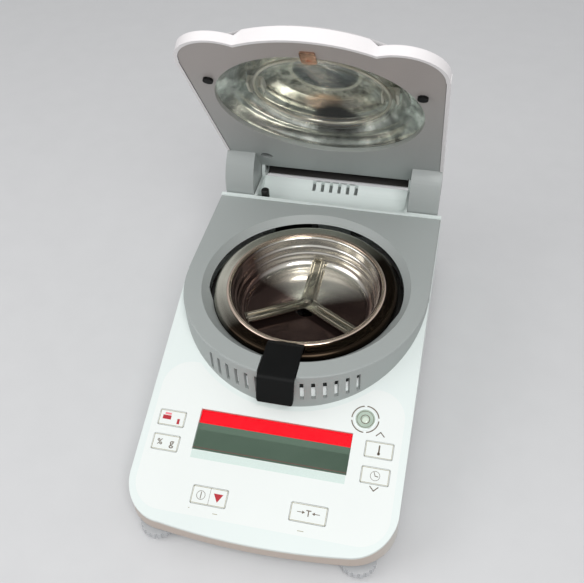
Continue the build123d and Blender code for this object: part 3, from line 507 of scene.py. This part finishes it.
def printed_ring(shape, radius, width, centre=(0, 0), sweep=360, start=0, steps=72):
    """Adds a flat printed ring, or an arc of sweep degrees."""
    place = Matrix.Translation(Vector((*centre, 0)) * MM)
    inner, outer = (radius - width / 2) * MM, (radius + width / 2) * MM
    half = INK * MM / 2
    turn = Matrix.Rotation(math.radians(start), 4, "Z")
    section = [(inner, -half), (outer, -half), (outer, half), (inner, half)]
    verts = [shape.verts.new(place @ turn @ Vector((across, 0, up))) for across, up in section]
    edges = [shape.edges.new(pair) for pair in zip(verts, verts[1:] + verts[:1])]
    whole = sweep >= 360
    if not whole:
        shape.faces.new(verts)
    made = bmesh.ops.spin(
        shape,
        geom=verts + edges,
        cent=place.translation,
        axis=(0, 0, 1),
        angle=math.radians(sweep),
        steps=steps,
        use_merge=whole,
    )
    if not whole:
        last = [item for item in made["geom_last"] if isinstance(item, bmesh.types.BMVert)]
        shape.faces.new(last)


def sheet_profile(line, thickness):
    """Closed profile of a thin sheet along a line of (radius, height) points."""
    first, second = [], []
    for index, (radius, height) in enumerate(line):
        before = Vector(line[max(index - 1, 0)])
        after = Vector(line[min(index + 1, len(line) - 1)])
        along = (after - before).normalized()
        step = Vector((-along.y, along.x)) * thickness / 2
        first.append((radius + step.x, height + step.y))
        second.append((radius - step.x, height - step.y))
    return first + second[::-1]


def arc(centre, radii, start, end, steps=6):
    """Points of an elliptical arc, angles in degrees."""
    points = []
    for step in range(steps + 1):
        turn = math.radians(start + (end - start) * step / steps)
        across, up = radii[0] * math.cos(turn), radii[1] * math.sin(turn)
        points.append((centre[0] + across, centre[1] + up))
    return points


def refined(node, name, material, angle=28.0):
    """Smooth-shaded copy of a CAD node that stands for it."""
    weld, flat = 2e-6, math.radians(0.4)
    source = nodes[node]
    shape = bmesh.new()
    shape.from_mesh(source.data)
    bmesh.ops.remove_doubles(shape, verts=shape.verts, dist=weld)
    bmesh.ops.dissolve_limit(shape, angle_limit=flat, verts=shape.verts, edges=shape.edges)
    mesh = bpy.data.meshes.new(name)
    shape.to_mesh(mesh)
    shape.free()
    piece = bpy.data.objects.new(name, mesh)
    bpy.context.scene.collection.objects.link(piece)
    wear(piece, material, True, angle)
    weighted = piece.modifiers.new("Even normals", "WEIGHTED_NORMAL")
    weighted.keep_sharp = True
    weighted.weight = 80
    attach(piece, source["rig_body"])
    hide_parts(node)
    return piece


def second_finish(piece, material, chosen):
    """Gives the faces whose centre and normal are chosen a second material."""
    piece.data.materials.append(material)
    for face in piece.data.polygons:
        if chosen(face.center, face.normal):
            face.material_index = 1


def paint(node, material):
    """Gives a CAD node its material."""
    target = nodes[node]
    target.data.materials.clear()
    target.data.materials.append(material)


# Sizes and colours that a user would change


class HousingLooks(PropertyGroup):
    """Colours of the mouldings."""

    white: FloatVectorProperty(
        name="White", description="Colour of the white mouldings", subtype="COLOR", size=4,
        default=colour(226, 234, 231), min=0.0, max=1.0,
    )
    grey: FloatVectorProperty(
        name="Grey", description="Colour of the chamber collar and hood liner", subtype="COLOR",
        size=4, default=colour(162, 167, 165), min=0.0, max=1.0,
    )
    gloss: FloatProperty(
        name="Roughness", description="Roughness of the mouldings", default=0.36, min=0.0, max=1.0,
    )


class PrintLooks(PropertyGroup):
    """Inks and line widths of the panel prints."""

    outline: FloatVectorProperty(
        name="Outline ink", description="Colour of the key outlines", subtype="COLOR", size=4,
        default=colour(150, 144, 112), min=0.0, max=1.0,
    )
    symbol: FloatVectorProperty(
        name="Symbol ink", description="Colour of the key symbols", subtype="COLOR", size=4,
        default=colour(98, 86, 72), min=0.0, max=1.0,
    )
    red: FloatVectorProperty(
        name="Red ink", description="Colour of the stripe over the display", subtype="COLOR",
        size=4, default=colour(238, 0, 28), min=0.0, max=1.0,
    )
    dark_red: FloatVectorProperty(
        name="Dark red ink", description="Colour of the start triangle and the print symbol",
        subtype="COLOR", size=4, default=colour(168, 26, 40), min=0.0, max=1.0,
    )
    line: FloatProperty(
        name="Line width", description="Width of the outlines in millimetres", default=0.3,
        min=0.05, max=2.0,
    )


class StageLooks(PropertyGroup):
    """Floor, lamps and lens."""

    floor: FloatProperty(
        name="Floor size", description="Width of the floor", default=3.0, min=0.5, unit="LENGTH",
    )
    key_power: FloatProperty(
        name="Key lamp", description="Power of the key lamp in watts", default=9.0, min=0.0,
    )
    fill_power: FloatProperty(
        name="Fill lamp", description="Power of the fill lamp in watts", default=4.0, min=0.0,
    )
    lens: FloatProperty(
        name="Lens", description="Focal length in millimetres", default=48.95, min=10.0,
    )


# Operators


class ANALYZER_OT_housing(Operator):
    """Finish the tray, the upper housing, the chamber collar and the feet"""

    bl_idname = "analyzer.housing"
    bl_label = "Housing"

    def execute(self, context):
        looks = context.scene.analyzer_housing
        white = moulding("White moulding", looks.white, looks.gloss, coat=0.15)
        grey = moulding("Grey moulding", looks.grey, looks.gloss + 0.12, grain=0.1)
        black = moulding("Black moulding", colour(26, 25, 24), 0.42, grain=0.2)
        pale_tray = moulding("Tray moulding", colour(196, 198, 196), 0.5, grain=0.1)
        clear_foot = moulding("Pale foot moulding", colour(186, 188, 190), 0.25, coat=0.4)
        rubber = moulding("Foot rubber", colour(28, 28, 28), 0.7, grain=0.3)
        steel = satin_metal("Fastener steel", colour(178, 178, 176))
        # White housing with a painted warm reflection and shade down its front lip.
        housing = moulding(
            "White housing moulding with painted lip reflection", looks.white, looks.gloss, coat=0.15, tinted=self.painted_lip_reflection
        )
        refined("upper_housing", "upper_housing_moulding", housing)
        refined("chamber_collar", "chamber_collar_moulding", grey)
        paint("base_tray", pale_tray)
        self.baffle()
        refined("hinge_cheeks", "hinge_cheek_mouldings", white)
        for node in ("front_foot_left", "front_foot_right"):
            refined(node, node + "_wheel", clear_foot)
        paint("rear_feet", rubber)
        fasteners = ("tray_screws", "load_cell_screws", "hinge_pins", "inlet_pins")
        for node in (*fasteners, "load_cell_block", "data_socket"):
            paint(node, steel)
        paint("power_inlet", black)
        paint("fuse_drawer", black)
        refined("hood_switch_plunger", "hood_switch_plunger_cap", black)
        paint("load_cell", satin_metal("Beam aluminium", colour(198, 199, 202), 0.28))
        board = moulding("Circuit board", colour(24, 84, 48), 0.3, coat=0.5)
        for node in ("main_board", "keypad_board", "power_supply"):
            paint(node, board)
        return {"FINISHED"}

    def painted_lip_reflection(self, finish, tint):
        """Painted reflection and shade: a warm, darker tint down the side of the housing's front
        lip.
        """
        _, y, z = finish.split(finish.place())
        edge_y, edge_z = panel_corner()
        below = edge_z - (edge_y - y) * math.tan(panel_tilt) - z
        lip_back, lip_fade = -0.085, 0.05
        lip_top, top_fade = 0.0008, 0.0016
        front = ((lip_back - y) / lip_fade).clamped()
        side = ((below - lip_top) / top_fade).clamped()
        return finish.blend(front * side, tint, colour(188, 174, 163))

    def baffle(self):
        """White band behind the slots, low enough to leave their tops dark."""
        drop = -7 * MM
        # Painted glow: the band emits its own pale colour, so it shows bright behind the slots
        # where it lies in shade.
        finish = Finish("Baffle white with painted glow", roughness=0.6, emission_strength=0.35)
        cloud = finish.noise(40.0, 3.0)
        pale = finish.blend(cloud, colour(244, 248, 247), colour(252, 254, 254))
        finish.drive(base_color=pale, emission_color=pale, roughness=cloud * 0.1 + 0.55)
        band = refined("vent_baffle", "vent_baffle_band", finish.material)
        band.data.transform(Matrix.Translation((0, 0, drop)))


class ANALYZER_OT_chamber(Operator):
    """Make the bright draft shield, the pan support, the basin and the pan handler"""

    bl_idname = "analyzer.chamber"
    bl_label = "Chamber"

    def execute(self, context):
        centre = CHAMBER.translation
        # Painted reflection and shade: the bowl is bright at the back and darker round the front
        # and sides.
        bowl = spun_metal(
            "Spun bright steel", colour(244, 240, 230), 0.1, 2600.0, centre,
            shade=((0.05, 0.999), 0.38, 0.96, colour(80, 64, 60)), metallic=0.86,
        )
        # Painted shade: the flange is bright towards the back left and dark towards the front
        # right.
        rim = spun_metal(
            "Spun rim steel", colour(222, 220, 206), 0.2, 900.0, centre,
            shade=((-0.7, 0.71), -0.1, 0.6, colour(44, 36, 28)),
        )
        band = spun_metal("Spun ring steel", colour(226, 206, 190), 0.08, 900.0, centre)
        # Painted shade: the pan support darkens towards the front.
        steel = spun_metal(
            "Bright pressed steel", colour(176, 171, 158), 0.16, 600.0, centre,
            shade=((0.2, 0.98), -1.0, 0.6, colour(118, 112, 100)),
        )
        black = moulding("Grip moulding", colour(7, 8, 8), 0.55, grain=0.25, gleam=0.2)
        # Painted shade: the basin is bright at the back and near black towards the front.
        basin = spun_metal(
            "Basin enamel with painted shade", colour(232, 228, 214), 0.3, 600.0, centre,
            shade=((-0.25, 0.97), 0.35, 0.85, colour(24, 22, 20)), metallic=0.3,
        )
        refined("chamber_basin", "chamber_basin_shell", basin)
        self.bowl(bowl, rim)
        self.spider(steel)
        self.handler(band, black)
        paint("pan_shaft", steel)
        return {"FINISHED"}

    def bowl(self, bright, rim):
        """Drawn bowl with its stepped wall, rolled lip and turned-down flange."""
        low, high = corners("draft_shield")
        sheet, half_sheet = 0.72, 0.4
        rim_radius = (high.x - low.x) / 2 / MM - half_sheet
        rim_z = high.z / MM - half_sheet
        floor_z = low.z / MM + half_sheet
        line = [(rim_radius, rim_z - 5.2), (rim_radius, rim_z - 4.2)]
        line += arc((rim_radius - 3, rim_z - 3), (3, 3), 0, 90)
        line += [(56.5, rim_z - 0.25), (54.2, rim_z - 0.05), (51.6, rim_z)]
        line += arc((50.7, rim_z - 1.2), (1.2, 1.2), 90, 180)
        line += [(48.95, 67.2), (48.7, 66.4), (48.1, 65.9), (47.7, 65.2), (47.55, 62.0)]
        line += [(47.3, 61.0), (46.8, 60.5), (46.4, 59.7)]
        line += arc((40, 57.6), (6.2, 6.1), 0, -90, 10)
        line += [(30, floor_z), (20, floor_z), (8.6, floor_z)]
        shape = spun(sheet_profile(line, sheet), ROUND)
        shield = finish_mesh(
            "draft_shield_bowl", shape, CHAMBER, "base", bright, angle=60
        )
        centre = CHAMBER.translation
        lip_radius = 51 * MM
        second_finish(shield, rim, lambda spot, normal: (spot - centre).xy.length > lip_radius)
        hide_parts("draft_shield")

    def spider(self, steel):
        """Three pressed arms with ribs and upturned tips round a small nub."""
        reach, tip_rise = 44.0, 3.6
        arm_z = corners("pan_support")[1].z / MM - tip_rise
        plate = ((reach - 1.2, 8.9, 1.1), (reach / 2 - 0.5, 0, 0.6), 0.35, 3)
        tip = ((1.5, 5.9, 3.0), (reach - 0.9, 0, 2.1), 0.5, 3)
        bars = [plate]
        for side in (-1, 1):
            rib = ((34.0, 1.0, 1.5), (25, side * 2.2, 1.25), 0.4, 3)
            hem = ((reach - 7, 0.5, 1.3), (reach / 2 + 2, side * 4.1, 0.75), 0.2, 2)
            bars += [rib, hem]
        shape = bmesh.new()
        for index in range(3):
            turn = Matrix.Rotation(math.radians(90 + 120 * index), 4, "Z")
            for size, (x, y, z), bevel, segments in [*bars, tip]:
                place = turn @ Matrix.Translation(Vector((x, y, arm_z + z)) * MM)
                rounded_box(shape, size, place, bevel, segments)
        hub = [(0, 2.8), (0.9, 2.6), (1.6, 1.9), (1.9, 1.3), (3.4, 1.2)]
        hub += [(4.9, 0.9), (4.9, -4.0), (3.6, -4.0), (3.6, 0), (0, 0)]
        dome = spun([(radius, arm_z + rise) for radius, rise in hub], 48, closed=False)
        mesh = bpy.data.meshes.new("hub")
        dome.to_mesh(mesh)
        dome.free()
        shape.from_mesh(mesh)
        bpy.data.meshes.remove(mesh)
        star = finish_mesh(
            "pan_support_star", shape, CHAMBER, "weighing_shaft", steel, angle=40
        )
        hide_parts("pan_support")

    def handler(self, bright, black):
        """Flat ring and the black grip, softened along its edges."""
        low, high = corners("pan_handler_ring")
        inner, outer = 50.9, (high.x - low.x) / 2 / MM
        floor_z, top_z = low.z / MM, high.z / MM
        profile = [(inner, floor_z + 0.2), (inner + 0.3, floor_z), (outer - 0.3, floor_z)]
        profile += [(outer, floor_z + 0.3), (outer, top_z - 0.4), (outer - 0.5, top_z)]
        profile += [(inner + 0.5, top_z), (inner, top_z - 0.4)]
        shape = spun(profile, ROUND)
        root = Matrix.Translation(Vector((-1.0, -outer - 3, (floor_z + top_z) / 2)) * MM)
        rounded_box(shape, (13.5, 9.0, top_z - floor_z), root, 0.3)
        ring = finish_mesh(
            "pan_handler_band", shape, CHAMBER, "base", bright, angle=40
        )
        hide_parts("pan_handler_ring")
        grip = refined("pan_handler_grip", "pan_handler_grip_moulding", black, 50.0)
        soften = grip.modifiers.new("Soft edges", "BEVEL")
        soften.width = 0.5 * MM
        soften.segments = 3
        soften.limit_method = "ANGLE"
        soften.angle_limit = math.radians(50)
        grip.modifiers.move(1, 0)


class ANALYZER_OT_panel(Operator):
    """Finish the overlay and the display, and print the key symbols"""

    bl_idname = "analyzer.panel"
    bl_label = "Panel"

    def execute(self, context):
        looks = context.scene.analyzer_prints
        self.line = looks.line
        self.outline_ink = printed_ink("Outline ink", looks.outline)
        self.symbol_ink = printed_ink("Symbol ink", looks.symbol)
        self.dark_red_ink = printed_ink("Dark red ink", looks.dark_red)
        film = moulding("Overlay film", colour(233, 237, 234), 0.3, grain=0.03, coat=0.25)
        paint("panel_overlay", film)
        for name in joints:
            if name.endswith("_key_press"):
                key = name.removesuffix("_press")
                paint(key, film)
                self.frame_key(key)
        self.symbols()
        self.display(looks)
        self.level()
        return {"FINISHED"}

    def local(self, key):
        """Middle of a key's upper face, with its width and length, in millimetres."""
        points = [nodes[key].matrix_world @ vertex.co / MM for vertex in nodes[key].data.vertices]
        top = max(point.dot(panel_normal) for point in points)
        face = [point for point in points if point.dot(panel_normal) > top - 0.02]
        left, right = min(point.x for point in face), max(point.x for point in face)
        front, back = min(point.y for point in face), max(point.y for point in face)
        length = (back - front) / math.cos(panel_tilt)
        return (left + right) / 2, (front + back) / 2, right - left, length

    def frame_key(self, key):
        """Outline of a key, clear of its rounded corners."""
        margin = 0.9
        x, y, width, length = self.local(key)
        shape = bmesh.new()
        outline_box(shape, width - margin, length - margin, self.line)
        self.printed(key + "_outline", shape, x, y, key, self.outline_ink)

    def printed(self, name, shape, x, y, body, ink, lift=ON_KEY):
        """Print at (x, y) millimetres on a key, or on the overlay of the base."""
        place = panel_place(x, y, lift)
        finish_mesh(name, shape, place, body, ink, False)

    def chevron(self, name, x, y, up):
        """Small arrow beside a key."""
        shape = bmesh.new()
        rise = 1.2 if up else -1.2
        for side in (-1, 1):
            stroke(shape, (2.4 * side, -rise), (0, rise), 0.6)
        self.printed(name, shape, x, y, "base", self.symbol_ink, ON_FILM)

    def lettering(self, name, text, size, key, offset):
        """Plain symbol text, made a mesh before it is placed."""
        x, y, _, _ = self.local(key)
        data = bpy.data.curves.new(name, "FONT")
        data.body = text
        data.size = size * MM
        data.align_x = "CENTER"
        data.align_y = "CENTER"
        data.extrude = 0.02 * MM
        data.offset = 0.07 * MM
        holder = bpy.data.objects.new(name, data)
        mesh = bpy.data.meshes.new_from_object(holder)
        shape = bmesh.new()
        shape.from_mesh(mesh)
        bpy.data.objects.remove(holder)
        bpy.data.meshes.remove(mesh)
        shape.transform(Matrix.Translation(Vector((*offset, 0)) * MM))
        self.printed(name, shape, x, y, key, self.symbol_ink)

    def symbols(self):
        """Symbols of all six keys, and the marks beside them."""
        x, y, _, _ = self.local("print_key")
        shape = bmesh.new()
        printed_block(shape, 5.4, 2.6, (-3.4, 0.2))
        printed_block(shape, 1.6, 3.4, (4.4, -1.6))
        self.printed("print_symbol", shape, x, y, "print_key", self.dark_red_ink)
        shape = bmesh.new()
        printed_block(shape, 4.0, 1.3, (-3.0, 2.6))
        pale = printed_ink("Pale red ink", colour(226, 128, 136))
        self.printed("print_paper", shape, x, y, "print_key", pale)
        self.lettering("percent_symbol", "%", 5.2, "percent_key", (-3.8, -0.1))
        self.lettering("gram_symbol", "g", 6.4, "percent_key", (4.0, 0.3))
        x, y, _, _ = self.local("power_key")
        shape = bmesh.new()
        printed_ring(shape, 2.6, 0.28, (-5.2, 0.0))
        stroke(shape, (-5.2, -1.8), (-5.2, 1.8), 0.5)
        stroke(shape, (0.2, -5.0), (0.2, 5.0), 0.18)
        self.printed("power_symbol", shape, x, y, "power_key", self.symbol_ink)
        shape = bmesh.new()
        printed_disc(shape, 3.4, (5.4, 0.6), sides=3, turn=math.pi)
        self.printed("start_symbol", shape, x, y, "power_key", self.dark_red_ink)
        self.lettering("tare_symbol", "T", 5.2, "tare_key", (0.0, 0.0))
        x, y, _, _ = self.local("tare_key")
        shape = bmesh.new()
        for side in (-1, 1):
            stroke(shape, (side * 6.6, 0.4), (side * 3.6, 0.4), 0.4)
            printed_disc(shape, 1.1, (side * 3.2, 0.4), sides=3, turn=side * math.pi / 2)
        self.printed("tare_arrows", shape, x, y, "tare_key", self.symbol_ink)
        x, y, _, _ = self.local("temperature_key")
        shape = bmesh.new()
        stroke(shape, (0, -2.2), (0, 2.6), 0.9)
        printed_disc(shape, 0.9, (0, -2.2))
        self.printed("temperature_symbol", shape, x, y, "temperature_key", self.symbol_ink)
        x, y, _, _ = self.local("time_key")
        shape = bmesh.new()
        printed_ring(shape, 2.8, 0.25)
        stroke(shape, (0, 0), (-0.9, 2.2), 0.4)
        stroke(shape, (0, 0), (1.7, -0.3), 0.5)
        self.printed("time_symbol", shape, x, y, "time_key", self.symbol_ink)
        self.chevron("up_mark", 64.6, -66.3, True)
        self.chevron("down_mark", 65.5, -97.7, False)
        for name, x, y, width in (
            ("zero_mark", -24.5, -127.0, 2.6),
            ("return_mark", 27.5, -127.4, 3.4),
            ("dash_mark", -41.0, -126.0, 0.5),
        ):
            shape = bmesh.new()
            stroke(shape, (-width / 2, 0), (width / 2, 0), 0.35)
            self.printed(name, shape, x, y, "base", self.outline_ink, ON_FILM)

    def display(self, looks):
        """Clear window, red stripe and grey-green display, both with a painted glow, and the faint
        strip below.
        """
        pale = (0.96, 0.97, 0.965, 1.0)
        window = clear_sheet("Display window", pale, gloss=0.05, body=0.004)
        paint("display_window", window)
        # Painted glow: the printed stripe emits a little of its red.
        stripe = Finish(
            "Red stripe print with painted glow", roughness=0.5, specular_ior_level=0.12, emission_strength=0.25
        )
        patchy = stripe.noise(500.0, 2.0)
        red = stripe.blend(patchy, looks.red, scaled(looks.red, 1.12))
        stripe.drive(base_color=red, roughness=patchy * 0.1 + 0.45, emission_color=looks.red)
        paint("display_stripe", stripe.material)
        # Painted glow: the display emits its grey-green, which evens out the shade across it.
        glass = Finish(
            "Display glass with painted glow", roughness=0.3, specular_ior_level=0.25, emission_strength=0.9
        )
        cloud = glass.noise(30.0, 3.0)
        grid = glass.noise(2600.0, 1.0)
        green = glass.blend(cloud, colour(66, 82, 70), colour(74, 90, 78))
        glass.drive(base_color=green, emission_color=green, roughness=cloud * 0.1 + 0.2)
        glass.bump(grid, 0.02, 0.00005)
        paint("display_module", glass.material)
        window_front = corners("display_window")[0].y / MM
        shape = bmesh.new()
        stroke(shape, (-47.9, 0), (47.9, 0), 0.25)
        edge = printed_ink("Stripe edge ink", colour(120, 60, 60))
        y = window_front + 1.1
        self.printed("display_lower_edge", shape, 0.0, y, "base", edge, ON_FILM)
        shape = bmesh.new()
        printed_block(shape, 96.0, 5.0)
        mint = printed_ink("Mint strip ink", colour(198, 212, 206))
        y = window_front - 2.9
        self.printed("display_lower_strip", shape, 0.0, y, "base", mint, 0.0)

    def level(self):
        """Bubble level in its bezel, with the printed ring round it."""
        spot = middle("level_bezel")
        x, y = spot.x / MM, -58.8
        white = moulding("Level bezel", colour(236, 242, 240), 0.35)
        refined("level_bezel", "level_bezel_ring", white)
        vial = Finish("Level liquid", roughness=0.08, coat_weight=1.0)
        depth = vial.noise(260.0, 2.0)
        vial.drive(base_color=vial.blend(depth, colour(150, 170, 152), colour(196, 210, 196)))
        refined("level_vial", "level_vial_glass", vial.material)
        paint("level_bubble", vial.material)
        shape = bmesh.new()
        for start in (12, 102, 192, 282):
            printed_ring(shape, 8.3, 0.7, sweep=78, start=start, steps=24)
        self.printed("level_ring", shape, x, y, "base", self.symbol_ink, ON_FILM)
        shape = bmesh.new()
        printed_ring(shape, 2.7, 0.45)
        printed_ring(shape, 5.1, 0.3)
        self.printed("level_circle", shape, x, y, "base", self.symbol_ink, IN_BEZEL)
        bubble = moulding("Air bubble", colour(214, 226, 210), 0.1, coat=1.0)
        shape = bmesh.new()
        bmesh.ops.create_uvsphere(shape, u_segments=32, v_segments=16, radius=1.9 * MM)
        bmesh.ops.scale(shape, vec=(1, 1, 0.16), verts=shape.verts)
        place = panel_place(x + 0.2, y - 0.4, 2 * IN_BEZEL)
        finish_mesh("level_air_bubble", shape, place, "base", bubble)


class ANALYZER_OT_hood(Operator):
    """Finish the hood, its liner, and make the reflector, the ring lamp and the glass"""

    bl_idname = "analyzer.hood"
    bl_label = "Hood"

    def execute(self, context):
        looks = context.scene.analyzer_housing
        white = moulding("Hood moulding", colour(240, 236, 236), looks.gloss, coat=0.15)
        rubber = moulding("Bumper rubber", colour(7, 7, 7), 0.6, grain=0.3, gleam=0.2)
        steel = satin_metal("Sensor steel", colour(208, 170, 146), 0.25)
        shell = refined("hood_shell", "hood_shell_moulding", white, 30.0)
        # Painted shade: the inner faces of the shell get a dark moulding that stands in for the
        # shadow inside the hood.
        inside = HOOD @ (Vector((0, 30, 6)) * MM)
        shade = moulding("Hood inside painted shade", colour(44, 42, 40), 0.6)
        second_finish(shell, shade, lambda spot, normal: normal.dot(inside - spot) > 0)
        liner = Finish("Liner moulding", roughness=0.42, coat_weight=0.1)
        _, _, height = liner.split(liner.place())
        cloud = liner.noise(14.0, 4.0)
        grain = liner.noise(2600.0, 2.0)
        rise = ((height - 0.1) / 0.12 + (cloud - 0.5) * 0.3).clamped()
        warmer = liner.blend(rise, looks.grey, colour(168, 160, 156))
        liner.drive(base_color=warmer, roughness=cloud * 0.1 + 0.36)
        liner.bump(grain, 0.1, 0.00012)
        refined("hood_liner", "hood_liner_moulding", liner.material)
        refined("vent_cap", "vent_cap_moulding", white)
        refined("hood_bumpers", "hood_bumper_pads", rubber)
        paint("temperature_sensor", steel)
        paint("hinge_bushes", satin_metal("Bush bronze", colour(180, 140, 90)))
        paint("lamp_sockets", moulding("Socket ceramic", colour(216, 210, 198), 0.3, coat=0.4))
        self.reflector()
        self.lamp()
        glass = clear_sheet("Guard glass", (0.97, 0.98, 0.97, 1.0), gloss=0.02)
        paint("guard_glass", glass)
        return {"FINISHED"}

    def reflector(self):
        """Spun reflector with stepped rings and a turned-out flange, in two sheets."""
        mirror = reflector_metal("Spun reflector", HOOD.translation, -open_angle)
        top = 4.9
        profile = [
            (69.9, top), (66.0, top), (65.3, top + 0.3), (63.4, 7.2), (60.4, 10.3), (58.9, 11.0),
            (56.6, 11.4), (55.6, 12.0), (52.8, 15.8), (50.4, 18.8), (49.4, 19.3), (44.6, 20.0),
            (43.6, 20.3), (38.5, 23.2), (34.6, 25.3), (33.4, 25.7), (23.0, 27.0), (22.0, 27.1),
            (15.0, 27.9), (8.0, 28.7), (0.0, 29.6),
        ]
        outer = [(radius + 0.4 if radius else 0, rise + 0.7) for radius, rise in profile[::-1]]
        shape = spun(profile + outer, ROUND, closed=False)
        piece = finish_mesh(
            "reflector_dish", shape, HOOD, "hood", mirror, angle=70
        )
        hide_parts("reflector")

    def lamp(self):
        """Ring lamp of quartz tube with its filament."""
        quartz = clear_sheet("Quartz tube", (0.96, 0.95, 0.92, 1.0), gloss=0.02, body=0.12)
        filament = satin_metal("Filament", colour(226, 218, 204), 0.3)
        spot = HOOD.inverted() @ middle("halogen_lamp")
        ring_radius, tube_radius, coil_radius, steps = 43, 4, 1.1, 96
        heart = (ring_radius, spot.z / MM)
        tube = spun(arc(heart, (tube_radius, tube_radius), 0, 360, 16)[:-1], steps)
        ring = finish_mesh(
            "halogen_lamp_tube", tube, HOOD, "hood", quartz, angle=80
        )
        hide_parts("halogen_lamp")
        coil = spun(arc(heart, (coil_radius, coil_radius), 0, 360, 8)[:-1], steps)
        finish_mesh(
            "halogen_lamp_filament", coil, HOOD, "hood", filament, angle=80
        )


class ANALYZER_OT_stage(Operator):
    """Set the pale floor, the soft lamps and the camera of the photograph"""

    bl_idname = "analyzer.stage"
    bl_label = "Stage"

    def execute(self, context):
        looks = context.scene.analyzer_stage
        self.floor(looks)
        self.lamp("Key lamp", looks.key_power, (0.35, -0.75, 1.15), 0.7)
        self.lamp("Fill lamp", looks.fill_power, (-0.95, -0.45, 0.8), 0.9)
        self.world(context)
        self.camera(context, looks)
        context.scene.view_settings.view_transform = "Standard"
        return {"FINISHED"}

    def floor(self, looks):
        """Pale paper under the part."""
        finish = Finish("Floor paper", roughness=0.9)
        fibre = finish.noise(40.0, 4.0)
        paper = finish.blend(fibre, (0.62, 0.62, 0.625, 1.0), (0.66, 0.66, 0.665, 1.0))
        finish.drive(base_color=paper)
        finish.bump(fibre, 0.02, 0.0002)
        shape = bmesh.new()
        bmesh.ops.create_grid(shape, x_segments=1, y_segments=1, size=looks.floor)
        mesh = bpy.data.meshes.new("floor")
        shape.to_mesh(mesh)
        shape.free()
        floor = bpy.data.objects.new("floor", mesh)
        bpy.context.scene.collection.objects.link(floor)
        floor.data.materials.append(finish.material)

    def lamp(self, name, power, place, size):
        """Round soft lamp aimed at the part."""
        data = bpy.data.lights.new(name, "AREA")
        data.energy = power
        data.shape = "DISK"
        data.size = size
        holder = bpy.data.objects.new(name, data)
        holder.location = place
        aim = Vector(LAMP_AIM) - Vector(place)
        holder.rotation_euler = aim.to_track_quat("-Z", "Y").to_euler()
        bpy.context.scene.collection.objects.link(holder)

    def world(self, context):
        """Sky that is dark at the floor and pale above."""
        world = bpy.data.worlds.new("Studio")
        context.scene.world = world
        sky = Sky(world)
        _, _, height = sky.split(sky.node("ShaderNodeTexCoord", output="Generated"))
        shade = sky.steps(height, (0.0, (0.24, 0.24, 0.25)), (0.7, (0.85, 0.86, 0.87)))
        sky.connect(shade, sky.background.inputs["Color"])
        sky.connect(0.75, sky.background.inputs["Strength"])

    def camera(self, context, looks):
        """Camera fitted to the photograph."""
        data = bpy.data.cameras.new("Camera")
        data.sensor_width = 36.0
        data.lens = looks.lens
        holder = bpy.data.objects.new("Camera", data)
        turn = Matrix(CAMERA_AXES).transposed().to_4x4()
        holder.matrix_world = Matrix.Translation(CAMERA_PLACE) @ turn
        bpy.context.scene.collection.objects.link(holder)
        context.scene.camera = holder


class ANALYZER_PT_sidebar(Panel):
    """Lists the analyzer's looks and the operators that make them"""

    bl_idname = "ANALYZER_PT_sidebar"
    bl_label = "Moisture analyzer"
    bl_space_type = "VIEW_3D"
    bl_region_type = "UI"
    bl_category = "Analyzer"

    def draw(self, context):
        layout = self.layout
        scene = context.scene
        for looks in (scene.analyzer_housing, scene.analyzer_prints, scene.analyzer_stage):
            box = layout.box()
            for name in looks.__annotations__:
                box.prop(looks, name)
        for operator in OPERATORS:
            layout.operator(operator.bl_idname)


GROUPS = {
    "analyzer_housing": HousingLooks,
    "analyzer_prints": PrintLooks,
    "analyzer_stage": StageLooks,
}
OPERATORS = (
    ANALYZER_OT_housing,
    ANALYZER_OT_chamber,
    ANALYZER_OT_panel,
    ANALYZER_OT_hood,
    ANALYZER_OT_stage,
)


def register():
    """Registers the looks, the operators and the sidebar."""
    for looks in (*GROUPS.values(), *OPERATORS, ANALYZER_PT_sidebar):
        bpy.utils.register_class(looks)
    for name, looks in GROUPS.items():
        setattr(bpy.types.Scene, name, PointerProperty(type=looks))


def unregister():
    """Takes back what register added."""
    for name in GROUPS:
        delattr(bpy.types.Scene, name)
    for looks in reversed((*GROUPS.values(), *OPERATORS, ANALYZER_PT_sidebar)):
        bpy.utils.unregister_class(looks)


def main():
    register()
    bpy.ops.analyzer.housing()
    bpy.ops.analyzer.chamber()
    bpy.ops.analyzer.panel()
    bpy.ops.analyzer.hood()
    bpy.ops.analyzer.stage()
    bpy.context.view_layer.update()


if __name__ == "__main__":
    main()
